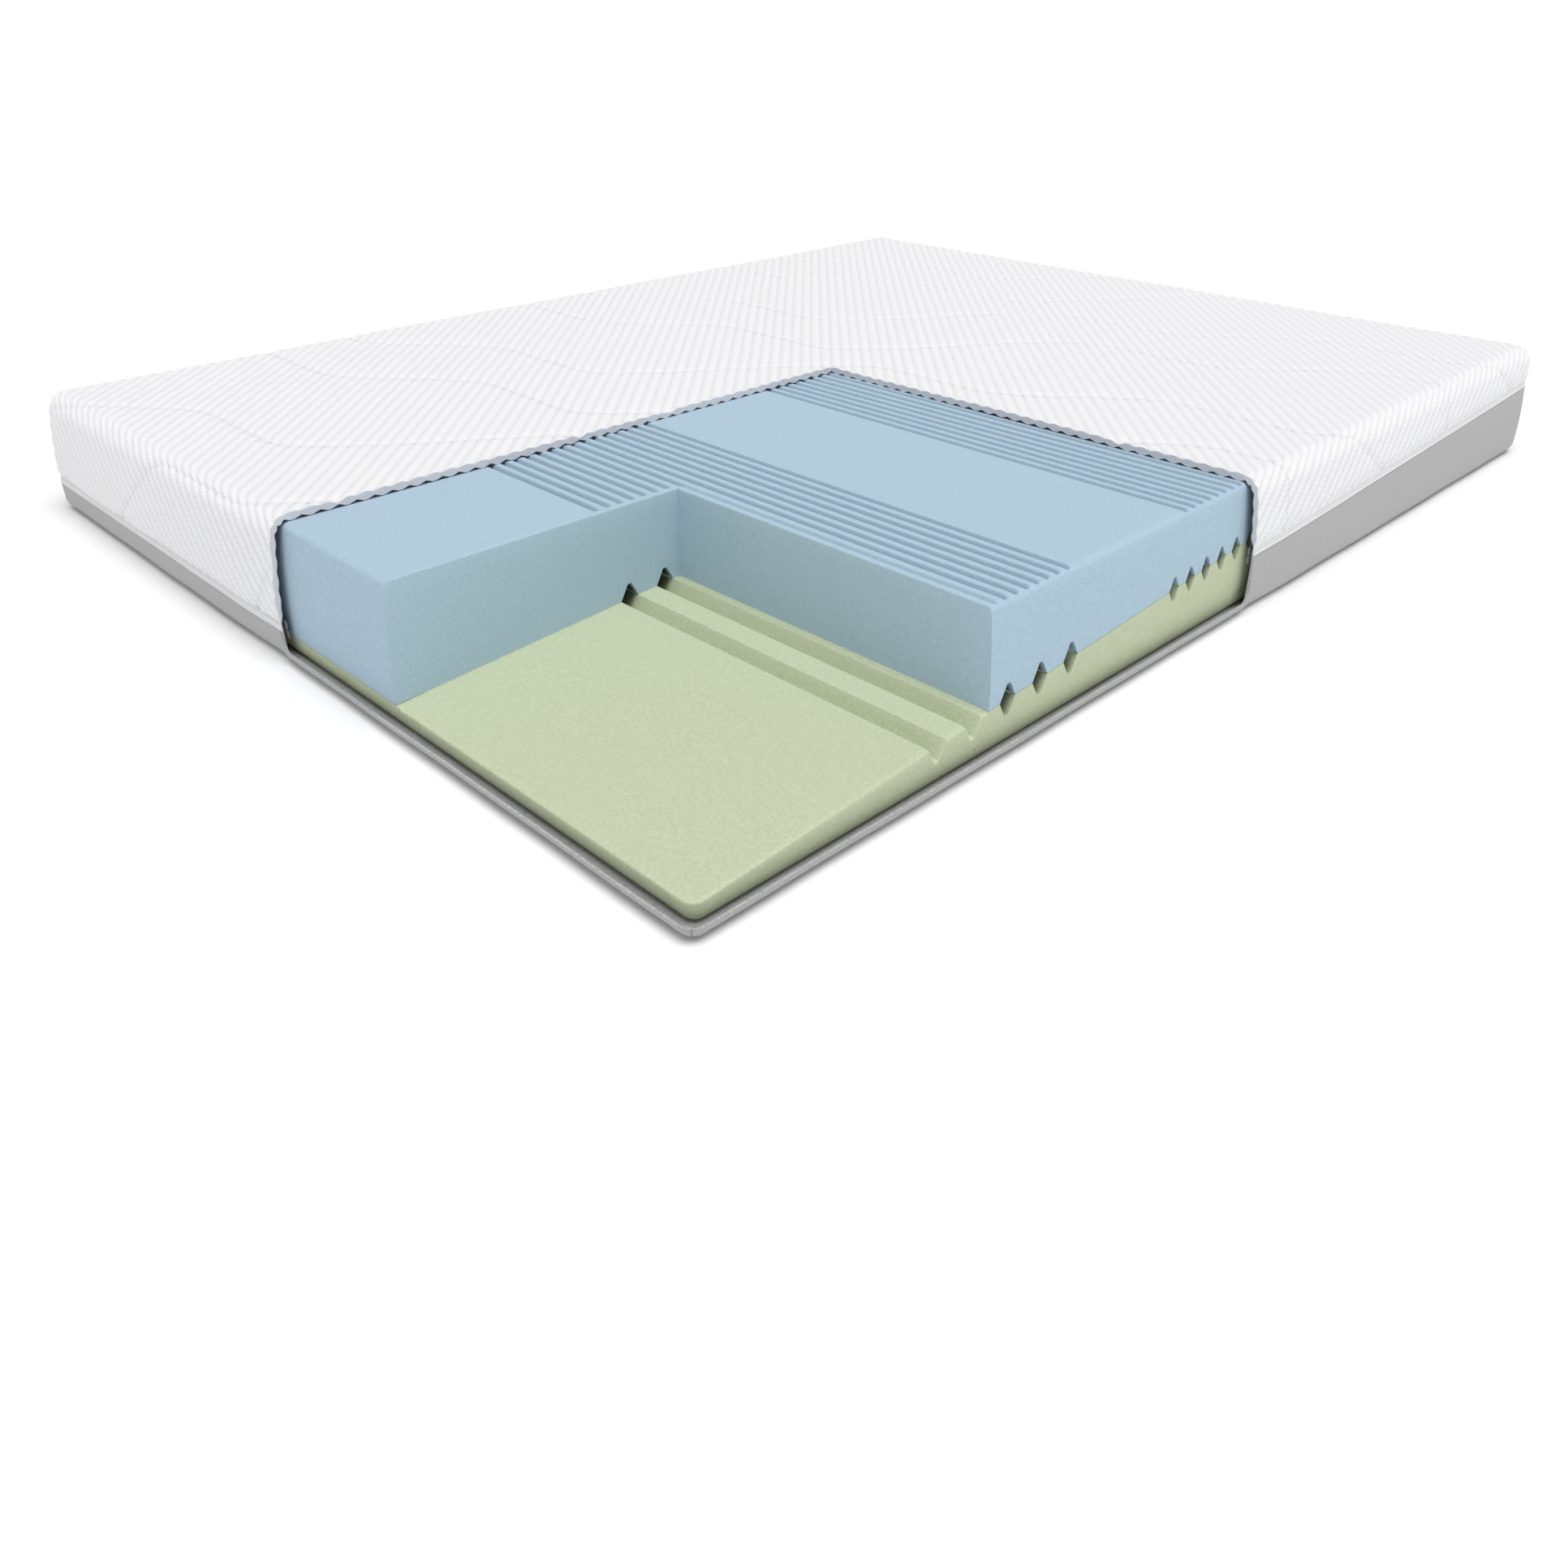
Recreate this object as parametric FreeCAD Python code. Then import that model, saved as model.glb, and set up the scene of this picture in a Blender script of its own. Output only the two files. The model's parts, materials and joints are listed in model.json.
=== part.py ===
"""Memory foam mattress with a zip-off quilted cover, as a cutaway: one quarter of the cover is cut off.

The mattress lies flat with its head end towards +Y. The origin is under its middle, at floor level.
Three things come apart: the grey lower cover, the two-layer foam core, and the white quilted upper cover.
The line where upper and lower cover meet is a zip. It climbs evenly from the foot end to the head end.
"""

import FreeCAD, Part
import math
import os

# ---- driving dimensions, in millimetres ----
WIDTH = 1600.0
LENGTH = 2000.0
HEIGHT = 200.0
CORNER_R = 30.0
TOP_EDGE_R = 28.0
BOTTOM_EDGE_R = 20.0

# Zip line: its height at the foot end and at the head end.
SEAM_FOOT_Z = 45.0
SEAM_HEAD_Z = 126.0

# Upper cover, from outside to inside: how far each face lies in from the side and down from the top.
KNIT_IN, KNIT_DOWN = 1.5, 1.5
WADDING_OUT_IN, WADDING_OUT_DOWN = 1.7, 1.7
WADDING_IN, WADDING_DOWN = 7.3, 11.6
BACKING_OUT_IN, BACKING_OUT_DOWN = 7.5, 11.8
BACKING_IN, BACKING_DOWN = 8.5, 12.6
QUILT_EDGE_ABOVE_SEAM = 12.0

# Placket: the plain band that hides the zip, and the stitching along it.
PLACKET_OUT, PLACKET_IN = 5.5, 9.0
PLACKET_TOP = 11.8
STITCH_OUT, STITCH_IN = 5.1, 5.45
STITCH_LOW, STITCH_HIGH = 10.2, 10.9
SLIT_HALF = 1.0

# Lower cover: the border strips and the bottom panel.
BORDER_OUT, BORDER_IN = 6.0, 9.0
PANEL_T = 3.0
LIP_HEIGHT = 18.0
MITRE_DEPTH = 200.0

# Zip: tapes behind the placket and border, with a nylon coil along each tape's edge.
TAPE_OUT, TAPE_IN = 9.1, 9.9
UPPER_TAPE_TOP = 11.5
LOWER_TAPE_BOTTOM = -12.0
COIL_OUT, COIL_IN = 10.0, 12.6
COIL_NEAR, COIL_FAR = 1.2, 3.8
ZIP_START_X = 700.0
ZIP_START_LENGTH = 11.0
ZIP_START_GAP = 0.5

# Foam core.
FOAM_IN = 22.0
FOAM_TOP_Z = 187.0
FOAM_CORNER_R = 16.0
FOAM_TOP_EDGE_R = 8.0
FOAM_BOTTOM_EDGE_R = 12.0
INTERFACE_FOOT_Z = 30.0
INTERFACE_MIDDLE_Z = 100.5
INTERFACE_HEAD_Z = 148.0
FILM_T = 0.6
NOTCH_X = 250.0
NOTCH_Y = -549.0

# Ventilation ducts run right through the core, half in each foam. Each zone is (middle y, count, pitch).
DUCT_ZONES = ((-515.0, 5, 59.3), (0.0, 10, 38.4), (515.0, 5, 59.3))
DUCT_WIDTH = 28.0
DUCT_HEIGHT = 41.0
DUCT_APEX_WIDTH = 6.0

# Contour grooves run across the top of the memory foam. Each zone is (middle y, count).
GROOVE_ZONES = ((-538.0, 15), (0.0, 16), (538.0, 15))
GROOVE_PITCH = 19.4
GROOVE_WIDTH = 9.0
GROOVE_DEPTH = 7.0

# Zip slider and pull, parked near the +X corner of the head end. Depths are measured in from the head face.
SLIDER_X = 670.0
SLIDER_HALF_LENGTH = 11.0
SLIDER_END_R = 2.0
BACK_PLATE_OUT, BACK_PLATE_IN = 13.0, 14.6
BACK_PLATE_HALF_HEIGHT = 5.6
FLANGE_OUT = 10.2
FLANGE_T = 1.2
NECK_HALF_LENGTH = 3.0
NECK_HALF_T = 0.6
FRONT_PLATE_OUT, FRONT_PLATE_IN = 4.2, 5.2
FRONT_PLATE_HALF_HEIGHT = 4.4
EAR_OUT = 1.0
EAR_HALF_LENGTH = 3.0
EAR_NEAR, EAR_FAR = 2.6, 3.8
PIN_DEPTH = 2.5
PIN_R = 0.7
PIN_SEAT_CLEARANCE = 0.02
PULL_RUNNING_CLEARANCE = 0.05
PULL_EYE_R = 1.5
PULL_EYE_HALF_HEIGHT = 2.4
PULL_BLADE_T = 1.2
PULL_BLADE_START = 4.2
PULL_LENGTH = 34.0
PULL_HALF_HEIGHT = 4.5
PULL_HOLE_R = 2.2
PULL_HOLE_FROM_END = 5.5

MARGIN = 50.0
SEAM_SLOPE = (SEAM_HEAD_Z - SEAM_FOOT_Z) / LENGTH


def seam_z(y):
    """Height of the zip line at a place along the length."""
    return SEAM_FOOT_Z + SEAM_SLOPE * (y + LENGTH / 2)


def interface_z(y):
    """Height where the two foams meet: it climbs steeply up to the middle, then less steeply to the head."""
    half = LENGTH / 2
    if y < 0:
        return INTERFACE_MIDDLE_Z + (INTERFACE_MIDDLE_Z - INTERFACE_FOOT_Z) * y / half
    return INTERFACE_MIDDLE_Z + (INTERFACE_HEAD_Z - INTERFACE_MIDDLE_Z) * y / half


# ---- basic solids ----
def box(low, high):
    """A box between two corners."""
    size = [b - a for a, b in zip(low, high)]
    return Part.makeBox(*size, FreeCAD.Vector(*low))


def prism_along_x(points, half_length):
    """Extrudes a closed outline of (y, z) points along X, equally far to both sides of the middle."""
    loop = [FreeCAD.Vector(-half_length, y, z) for y, z in points]
    face = Part.Face(Part.makePolygon(loop + loop[:1]))
    return face.extrude(FreeCAD.Vector(2 * half_length, 0, 0))


def prism_along_z(points, low, high):
    """Extrudes a closed outline of (x, y) points upwards."""
    loop = [FreeCAD.Vector(x, y, low) for x, y in points]
    face = Part.Face(Part.makePolygon(loop + loop[:1]))
    return face.extrude(FreeCAD.Vector(0, 0, high - low))


def block(inset, low, high, corner_r=None):
    """The mattress's plan outline, drawn in by an inset, as an upright block with rounded corners."""
    x, y = WIDTH / 2 - inset, LENGTH / 2 - inset
    solid = box((-x, -y, low), (x, y, high))
    upright = [e for e in solid.Edges if abs(e.tangentAt(e.FirstParameter).z) > 0.9]
    return solid.makeFillet(corner_r or CORNER_R - inset, upright)


def rounded_block(inset, low, high, radius, top, corner_r=None):
    """A block whose top edges, or bottom edges, are rounded all the way round."""
    solid = block(inset, low, high, corner_r)
    level = high if top else low
    rim = [e for e in solid.Edges if all(abs(v.Z - level) < 1e-6 for v in e.Vertexes)]
    return solid.makeFillet(radius, rim)


def ring(outer_inset, inner_inset):
    """An upright wall that follows the plan outline between two insets."""
    outer = block(outer_inset, -MARGIN, HEIGHT + MARGIN)
    return outer.cut(block(inner_inset, -2 * MARGIN, HEIGHT + 2 * MARGIN))


def slab(low, high):
    """The space between two planes parallel to the zip line, at heights measured from it."""
    y = LENGTH / 2 + MARGIN
    corners = ((-y, low), (y, low), (y, high), (-y, high))
    return prism_along_x([(a, seam_z(a) + b) for a, b in corners], WIDTH / 2 + MARGIN)


def band(outer_inset, inner_inset, low, high):
    """A strip that follows the zip line all round the mattress."""
    return ring(outer_inset, inner_inset).common(slab(low, high))


def without_quarter(solid, above=-MARGIN):
    """Cuts off the quarter of the cover towards +X and the foot end, above a height."""
    far_x, far_y = WIDTH / 2 + MARGIN, LENGTH / 2 + MARGIN
    return solid.cut(box((0, -far_y, above), (far_x, 0, HEIGHT + 2 * MARGIN)))


# ---- upper cover ----
def cover_layer(out_in, out_down, in_in, in_down):
    """One layer of the quilt: a shell with a rounded top edge, down to the quilt's sewn edge."""
    outer = rounded_block(out_in, 0, HEIGHT - out_down, TOP_EDGE_R - out_in, True)
    inner = rounded_block(in_in, -MARGIN, HEIGHT - in_down, TOP_EDGE_R - in_in, True)
    shell = outer.cut(inner).common(slab(QUILT_EDGE_ABOVE_SEAM, HEIGHT + MARGIN))
    return without_quarter(shell)


def make_upper_cover():
    return {
        "top_knit": cover_layer(0, 0, KNIT_IN, KNIT_DOWN),
        "wadding": cover_layer(WADDING_OUT_IN, WADDING_OUT_DOWN, WADDING_IN, WADDING_DOWN),
        "backing": cover_layer(BACKING_OUT_IN, BACKING_OUT_DOWN, BACKING_IN, BACKING_DOWN),
        "placket": without_quarter(band(PLACKET_OUT, PLACKET_IN, SLIT_HALF, PLACKET_TOP)),
        "placket_stitching": without_quarter(band(STITCH_OUT, STITCH_IN, STITCH_LOW, STITCH_HIGH)),
    }


# ---- lower cover ----
def mitred_sides():
    """The part of the plan that each border strip fills, cut at 45 degrees at the corners."""
    x, y = WIDTH / 2 + MARGIN, LENGTH / 2 + MARGIN
    near_x, near_y = x - MITRE_DEPTH, y - MITRE_DEPTH
    return {
        "border_foot": ((-x, -y), (x, -y), (near_x, -near_y), (-near_x, -near_y)),
        "border_head": ((x, y), (-x, y), (-near_x, near_y), (near_x, near_y)),
        "border_left": ((-x, y), (-x, -y), (-near_x, -near_y), (-near_x, near_y)),
        "border_right": ((x, -y), (x, y), (near_x, near_y), (near_x, -near_y)),
    }


def make_lower_cover():
    """A tray of grey fabric: a flat panel and four border strips that turn up round its edge."""
    outer = rounded_block(BORDER_OUT, 0, HEIGHT, BOTTOM_EDGE_R, False)
    inner_r = BOTTOM_EDGE_R - PANEL_T
    inner = rounded_block(BORDER_IN, PANEL_T, HEIGHT + MARGIN, inner_r, False)
    tray = outer.cut(inner).common(slab(-HEIGHT, -SLIT_HALF))
    flat = block(BORDER_OUT + BOTTOM_EDGE_R, -MARGIN, HEIGHT + MARGIN)
    wall = without_quarter(tray.cut(flat), LIP_HEIGHT)
    nodes = {"bottom_panel": tray.common(flat)}
    for name, plan in mitred_sides().items():
        nodes[name] = wall.common(prism_along_z(plan, -MARGIN, HEIGHT + MARGIN))
    return nodes


# ---- zip ----
def zip_start(low, high, clearance):
    """The stretch of one coil, at the head end, that the zip's metal start piece takes up."""
    half = ZIP_START_LENGTH / 2 + clearance
    y = LENGTH / 2 - COIL_IN
    z = seam_z(y)
    grow = 2 * clearance
    return box(
        (ZIP_START_X - half, y, z + low - grow),
        (ZIP_START_X + half, LENGTH / 2 - COIL_OUT, z + high + grow),
    )


def make_zip():
    upper = without_quarter(band(COIL_OUT, COIL_IN, COIL_NEAR, COIL_FAR))
    lower = without_quarter(band(COIL_OUT, COIL_IN, -COIL_FAR, -COIL_NEAR))
    return {
        "upper_zip_tape": without_quarter(band(TAPE_OUT, TAPE_IN, SLIT_HALF, UPPER_TAPE_TOP)),
        "upper_zip_coil": upper.cut(zip_start(COIL_NEAR, COIL_FAR, ZIP_START_GAP)),
        "zip_insertion_pin": zip_start(COIL_NEAR, COIL_FAR, 0),
        "lower_zip_tape": without_quarter(band(TAPE_OUT, TAPE_IN, LOWER_TAPE_BOTTOM, -SLIT_HALF)),
        "lower_zip_coil": lower.cut(zip_start(-COIL_FAR, -COIL_NEAR, ZIP_START_GAP)),
        "zip_retainer_box": zip_start(-COIL_FAR, -COIL_NEAR, 0),
    }


def slider_box(half_x, depth_out, depth_in, low, high, x=0.0):
    """A box on the slider: along the zip, from one depth to another, and up from the zip line."""
    return box(
        (SLIDER_X + x - half_x, LENGTH / 2 - depth_in, low),
        (SLIDER_X + x + half_x, LENGTH / 2 - depth_out, high),
    )


def rounded_plate(half_x, depth_out, depth_in, half_height, radius, x=0.0):
    """A slider plate with rounded corners, seen from the head end."""
    plate = slider_box(half_x, depth_out, depth_in, -half_height, half_height, x)
    corners = [e for e in plate.Edges if abs(e.tangentAt(e.FirstParameter).y) > 0.9]
    return plate.makeFillet(radius, corners)


def upright_cylinder(radius, half_height):
    """A cylinder on the pull's axis, which runs up from the zip line."""
    foot = FreeCAD.Vector(SLIDER_X, LENGTH / 2 - PIN_DEPTH, -half_height)
    return Part.makeCylinder(radius, 2 * half_height, foot)


def onto_zip_line(solid):
    """Lifts a slider part to the zip line at the head end and tilts it to the line's slope."""
    depth = LENGTH / 2 - TAPE_OUT
    placed = solid.translated(FreeCAD.Vector(0, 0, seam_z(depth)))
    turn = math.degrees(math.atan(SEAM_SLOPE))
    centre = FreeCAD.Vector(SLIDER_X, depth, seam_z(depth))
    return placed.rotated(centre, FreeCAD.Vector(1, 0, 0), turn)


def make_slider():
    back = rounded_plate(
        SLIDER_HALF_LENGTH, BACK_PLATE_OUT, BACK_PLATE_IN, BACK_PLATE_HALF_HEIGHT, SLIDER_END_R
    )
    front = rounded_plate(
        SLIDER_HALF_LENGTH, FRONT_PLATE_OUT, FRONT_PLATE_IN, FRONT_PLATE_HALF_HEIGHT, SLIDER_END_R
    )
    neck = slider_box(NECK_HALF_LENGTH, FRONT_PLATE_IN, BACK_PLATE_OUT, -NECK_HALF_T, NECK_HALF_T)
    flange_low = -BACK_PLATE_HALF_HEIGHT
    flange = slider_box(
        SLIDER_HALF_LENGTH - SLIDER_END_R, FLANGE_OUT, BACK_PLATE_OUT, flange_low, flange_low + FLANGE_T
    )
    lower_ear = slider_box(EAR_HALF_LENGTH, EAR_OUT, FRONT_PLATE_OUT, -EAR_FAR, -EAR_NEAR)
    upper_ear = slider_box(EAR_HALF_LENGTH, EAR_OUT, FRONT_PLATE_OUT, EAR_NEAR, EAR_FAR)
    body = back.multiFuse([front, neck, flange, lower_ear, upper_ear]).removeSplitter()
    return body.cut(upright_cylinder(PIN_R + PIN_SEAT_CLEARANCE, EAR_FAR + 1))


def make_pull():
    """A flat tab that swings on the slider's pin, with a hole near its free end."""
    half_t = PULL_BLADE_T / 2
    near, far = PIN_DEPTH - half_t, PIN_DEPTH + half_t
    blade_half = (PULL_LENGTH - PULL_BLADE_START) / 2
    blade = rounded_plate(
        blade_half, near, far, PULL_HALF_HEIGHT, PULL_HALF_HEIGHT - 1, PULL_BLADE_START + blade_half
    )
    strap_half = (PULL_BLADE_START + 1) / 2
    strap = slider_box(strap_half, near, far, -PULL_EYE_HALF_HEIGHT, PULL_EYE_HALF_HEIGHT, strap_half)
    eye = upright_cylinder(PULL_EYE_R, PULL_EYE_HALF_HEIGHT)
    hole_x = SLIDER_X + PULL_LENGTH - PULL_HOLE_FROM_END
    hole = Part.makeCylinder(
        PULL_HOLE_R, 2 * MARGIN, FreeCAD.Vector(hole_x, LENGTH / 2 - MARGIN, 0), FreeCAD.Vector(0, 1, 0)
    )
    tab = eye.multiFuse([strap, blade]).removeSplitter()
    return tab.cut(hole).cut(upright_cylinder(PIN_R + PULL_RUNNING_CLEARANCE, EAR_FAR + 1))


def make_slider_parts():
    pin = upright_cylinder(PIN_R, EAR_FAR)
    parts = {"zip_slider": make_slider(), "pull_pin": pin, "zip_pull": make_pull()}
    return {name: onto_zip_line(solid) for name, solid in parts.items()}


# ---- foam core ----
def foam_layer(low_offset, high_offset, low_z=None, high_z=None):
    """The space across the core between the foams' meeting face, moved by an offset, and a level."""
    y = LENGTH / 2 + MARGIN
    stations = (-y, 0.0, y)
    low = [(a, interface_z(a) + low_offset if low_z is None else low_z) for a in stations]
    high = [(a, interface_z(a) + high_offset if high_z is None else high_z) for a in stations]
    return prism_along_x(low + high[::-1], WIDTH / 2 + MARGIN)


def duct(y):
    """A ventilation duct: a tall hexagon with narrow flat ends above and below."""
    middle = interface_z(y)
    half_w, half_h, half_apex = DUCT_WIDTH / 2, DUCT_HEIGHT / 2, DUCT_APEX_WIDTH / 2
    corners = (
        (-half_w, 0),
        (-half_apex, -half_h),
        (half_apex, -half_h),
        (half_w, 0),
        (half_apex, half_h),
        (-half_apex, half_h),
    )
    return prism_along_x([(y + a, middle + b) for a, b in corners], WIDTH / 2 + MARGIN)


def groove(y):
    """A V-shaped contour groove across the top of the memory foam."""
    half = GROOVE_WIDTH / 2
    top = ((y - half, FOAM_TOP_Z + 1), (y + half, FOAM_TOP_Z + 1), (y + half, FOAM_TOP_Z))
    return prism_along_x(top + ((y, FOAM_TOP_Z - GROOVE_DEPTH), (y - half, FOAM_TOP_Z)), WIDTH / 2 + MARGIN)


def rows(middle, count, pitch):
    """Evenly spaced places along the length, centred on a place."""
    first = middle - pitch * (count - 1) / 2
    return [first + pitch * i for i in range(count)]


def make_core():
    whole = rounded_block(FOAM_IN, PANEL_T, FOAM_TOP_Z, FOAM_TOP_EDGE_R, True, FOAM_CORNER_R)
    rim = [e for e in whole.Edges if all(abs(v.Z - PANEL_T) < 1e-6 for v in e.Vertexes)]
    whole = whole.makeFillet(FOAM_BOTTOM_EDGE_R, rim)
    ducts = [duct(y) for zone in DUCT_ZONES for y in rows(*zone)]
    grooves = [groove(y) for middle, count in GROOVE_ZONES for y in rows(middle, count, GROOVE_PITCH)]
    vented = whole.cut(Part.makeCompound(ducts))
    far_x, far_y = WIDTH / 2 + MARGIN, LENGTH / 2 + MARGIN
    notch = box((NOTCH_X, -far_y, -MARGIN), (far_x, NOTCH_Y, HEIGHT + MARGIN))
    half_film = FILM_T / 2
    green = vented.common(foam_layer(0, -half_film, low_z=-MARGIN))
    film = vented.common(foam_layer(-half_film, half_film)).cut(notch)
    blue = vented.common(foam_layer(half_film, 0, high_z=HEIGHT + MARGIN)).cut(notch)
    blue = blue.cut(Part.makeCompound(grooves))
    return {"support_foam": green, "adhesive_film": film, "memory_foam": blue}


def main():
    os.makedirs("parts", exist_ok=True)
    nodes = {}
    nodes.update(make_lower_cover())
    nodes.update(make_core())
    nodes.update(make_upper_cover())
    nodes.update(make_zip())
    nodes.update(make_slider_parts())
    for name, shape in nodes.items():
        shape.exportStep(f"parts/{name}.step")
        box_ = shape.BoundBox
        print(
            f"{name}: solids {len(shape.Solids)}, valid {shape.isValid()},"
            f" volume {shape.Volume / 1e3:.1f} cm3,"
            f" z {box_.ZMin:.1f} to {box_.ZMax:.1f}, x {box_.XMin:.1f} to {box_.XMax:.1f},"
            f" y {box_.YMin:.1f} to {box_.YMax:.1f}"
        )


main()
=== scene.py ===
"""Memory foam mattress with a zip-off quilted cover, as a cutaway: the cloth, foam, thread and light.

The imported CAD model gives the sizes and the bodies. Soft parts are made here as meshes over it:
a ribbed, quilted upper cover, a plain placket, grey border strips and a grooved, vented foam core.
"""

import json
import math

import bpy
import numpy as np
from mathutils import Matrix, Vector

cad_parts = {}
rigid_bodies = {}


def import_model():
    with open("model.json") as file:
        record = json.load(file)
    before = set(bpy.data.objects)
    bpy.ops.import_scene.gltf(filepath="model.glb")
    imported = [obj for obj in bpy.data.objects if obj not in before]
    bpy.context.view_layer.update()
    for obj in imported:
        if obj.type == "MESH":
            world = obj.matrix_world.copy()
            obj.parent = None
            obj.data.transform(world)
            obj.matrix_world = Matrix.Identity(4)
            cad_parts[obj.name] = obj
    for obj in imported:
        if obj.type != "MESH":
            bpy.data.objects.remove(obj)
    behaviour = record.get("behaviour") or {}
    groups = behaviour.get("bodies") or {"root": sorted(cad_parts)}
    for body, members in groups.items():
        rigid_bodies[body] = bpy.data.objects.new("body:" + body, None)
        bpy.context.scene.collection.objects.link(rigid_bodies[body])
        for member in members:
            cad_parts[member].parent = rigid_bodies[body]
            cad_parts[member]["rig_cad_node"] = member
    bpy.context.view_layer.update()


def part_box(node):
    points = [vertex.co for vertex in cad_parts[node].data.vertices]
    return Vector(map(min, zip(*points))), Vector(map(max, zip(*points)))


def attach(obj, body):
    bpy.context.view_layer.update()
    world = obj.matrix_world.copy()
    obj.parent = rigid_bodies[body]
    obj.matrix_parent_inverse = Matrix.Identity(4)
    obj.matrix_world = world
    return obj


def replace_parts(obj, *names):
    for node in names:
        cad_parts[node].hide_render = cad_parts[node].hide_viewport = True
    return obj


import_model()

# ---- sizes read from the CAD frame, in metres ----
HALF_W, HALF_L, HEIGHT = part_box("top_knit")[1]
FOAM_X, FOAM_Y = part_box("support_foam")[1][:2]
FOAM_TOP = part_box("memory_foam")[1].z
SEAM_FOOT, SEAM_HEAD = 0.045, 0.126

# ---- the cover's outline and profile ----
EDGE_R = 0.029
WIDEST_Z = 0.108
BULGE_LOW, BULGE_HIGH = 0.010, 0.004
HEAD_RECESS, RECESS = 0.0055, 0.0022

# ---- the ribbed knit: cells of the cover's grid, and how many make one rib ----
CELLS_X, CELLS_Y = 320, 400
RIB_CELLS = 5
CELL = np.array([2 * HALF_W / CELLS_X, 2 * HALF_L / CELLS_Y])
SIDE_CELL = 0.0050
RIB_DEPTH = 0.0024
RIB_SHAPE = np.array([1.0, 0.55, 0.05, 0.05, 0.55])
RIB_PITCH = RIB_CELLS * 2 * HALF_W / CELLS_X / math.sqrt(2)
CUT_I, CUT_J = CELLS_X // 2, CELLS_Y // 2
HEM_ABOVE_SEAM = 0.0118

# ---- the quilting: two families of stair-shaped waves over the cover ----
WAVE_REPEAT = 0.543
WAVE_START = (-0.670, -0.085)
WAVE_TREADS = ((0.440, 0.165), (0.580, 0.380))
WAVE_SHIFT = (-0.170, 0.150)
WAVE_STEEPNESS = 1.5
WAVE_DEPTH, WAVE_WIDTH = 0.0034, 0.0065
WAVE_SIDE_SHARE = 0.45

# ---- layers of the upper cover: thicknesses, and depths under the outer face at the sides and on top ----
KNIT_T, BACKING_T = 0.0011, 0.0009
KNIT_REST = 0.0008
KNIT_SIDE, KNIT_TOP = 0.0062, 0.0072
WADDING_SIDE, WADDING_TOP = 0.0085, 0.0108
LAYER_GAP = 0.00005
HEM_DEPTH, HEM_TAPER = 0.0052, 0.016
SCALLOP = 0.0019
CUT_CURL, CUT_CURL_REACH = 0.0025, 0.07

# ---- foam ----
FOAM_CORNER_R, FOAM_TOP_R, FOAM_BOTTOM_R = 0.016, 0.008, 0.014
NOTCH_X, NOTCH_Y = 0.250, -0.549
INTERFACE = (0.030, 0.1005, 0.148)
FILM_T = 0.0006
GROOVE_ZONES = ((-0.538, 15), (0.0, 16), (0.538, 15))
GROOVE_PITCH, GROOVE_DEPTH, GROOVE_HALF = 0.0194, 0.0070, 0.0054
GROOVE_SIDE_MARGIN, GROOVE_SIDE_FADE = 0.001, 0.008
GROOVE_NOTCH_MARGIN, GROOVE_NOTCH_FADE = 0.006, 0.012
# how far inside a duct's open mouth its painted shade takes to fade in
DUCT_SHADE_FADE = 0.012
# a zone is its middle, how many ducts it has, their spacing and their size
DUCT_ZONES = ((-0.515, 5, 0.0593, 1.0), (0.0, 10, 0.0384, 0.8), (0.515, 5, 0.0593, 1.0))
DUCT_HALF_W, DUCT_HALF_H, DUCT_APEX = 0.014, 0.0205, 0.003

# ---- border ----
BORDER_T, BORDER_R = 0.003, 0.018
LIP_Z, LIP_FILLET = 0.018, 0.012


def seam_z(y):
    """Height of the zip line at a place along the length."""
    return SEAM_FOOT + (SEAM_HEAD - SEAM_FOOT) * (y + HALF_L) / (2 * HALF_L)


def interface_z(y):
    """Height where the two foams meet."""
    return np.interp(y, (-HALF_L, 0.0, HALF_L), INTERFACE)


def smooth(t):
    t = np.clip(t, 0.0, 1.0)
    return t * t * (3 - 2 * t)


# ---- mesh helpers ----
def add_mesh(name, points, faces, materials, body):
    """A named mesh piece that rides a body and takes the materials it is given."""
    mesh = bpy.data.meshes.new(name)
    mesh.from_pydata(np.asarray(points).tolist(), [], faces)
    for material in materials:
        mesh.materials.append(material)
    mesh.shade_smooth()
    mesh.validate()
    mesh.update()
    piece = bpy.data.objects.new(name, mesh)
    bpy.context.scene.collection.objects.link(piece)
    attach(piece, body)
    return piece


def joined(parts):
    """Several (points, faces) parts as one set of points and faces."""
    points, faces, offset = [], [], 0
    for part_points, part_faces in parts:
        points.append(part_points)
        faces += [[v + offset for v in face] for face in part_faces]
        offset += len(part_points)
    return np.vstack(points), faces


def set_cloth_coordinates(piece, flat_places):
    """Stores where each vertex lies on the flat cloth, so that the weave follows the cloth."""
    attribute = piece.data.attributes.new("cloth", "FLOAT_VECTOR", "POINT")
    places = np.zeros((len(piece.data.vertices), 3), np.float32)
    places[:, : flat_places.shape[1]] = flat_places
    attribute.data.foreach_set("vector", places.ravel())


def sharpen(piece, degrees):
    """Keeps edges sharper than an angle crisp in the shading."""
    piece.data.set_sharp_from_angle(angle=math.radians(degrees))


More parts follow.
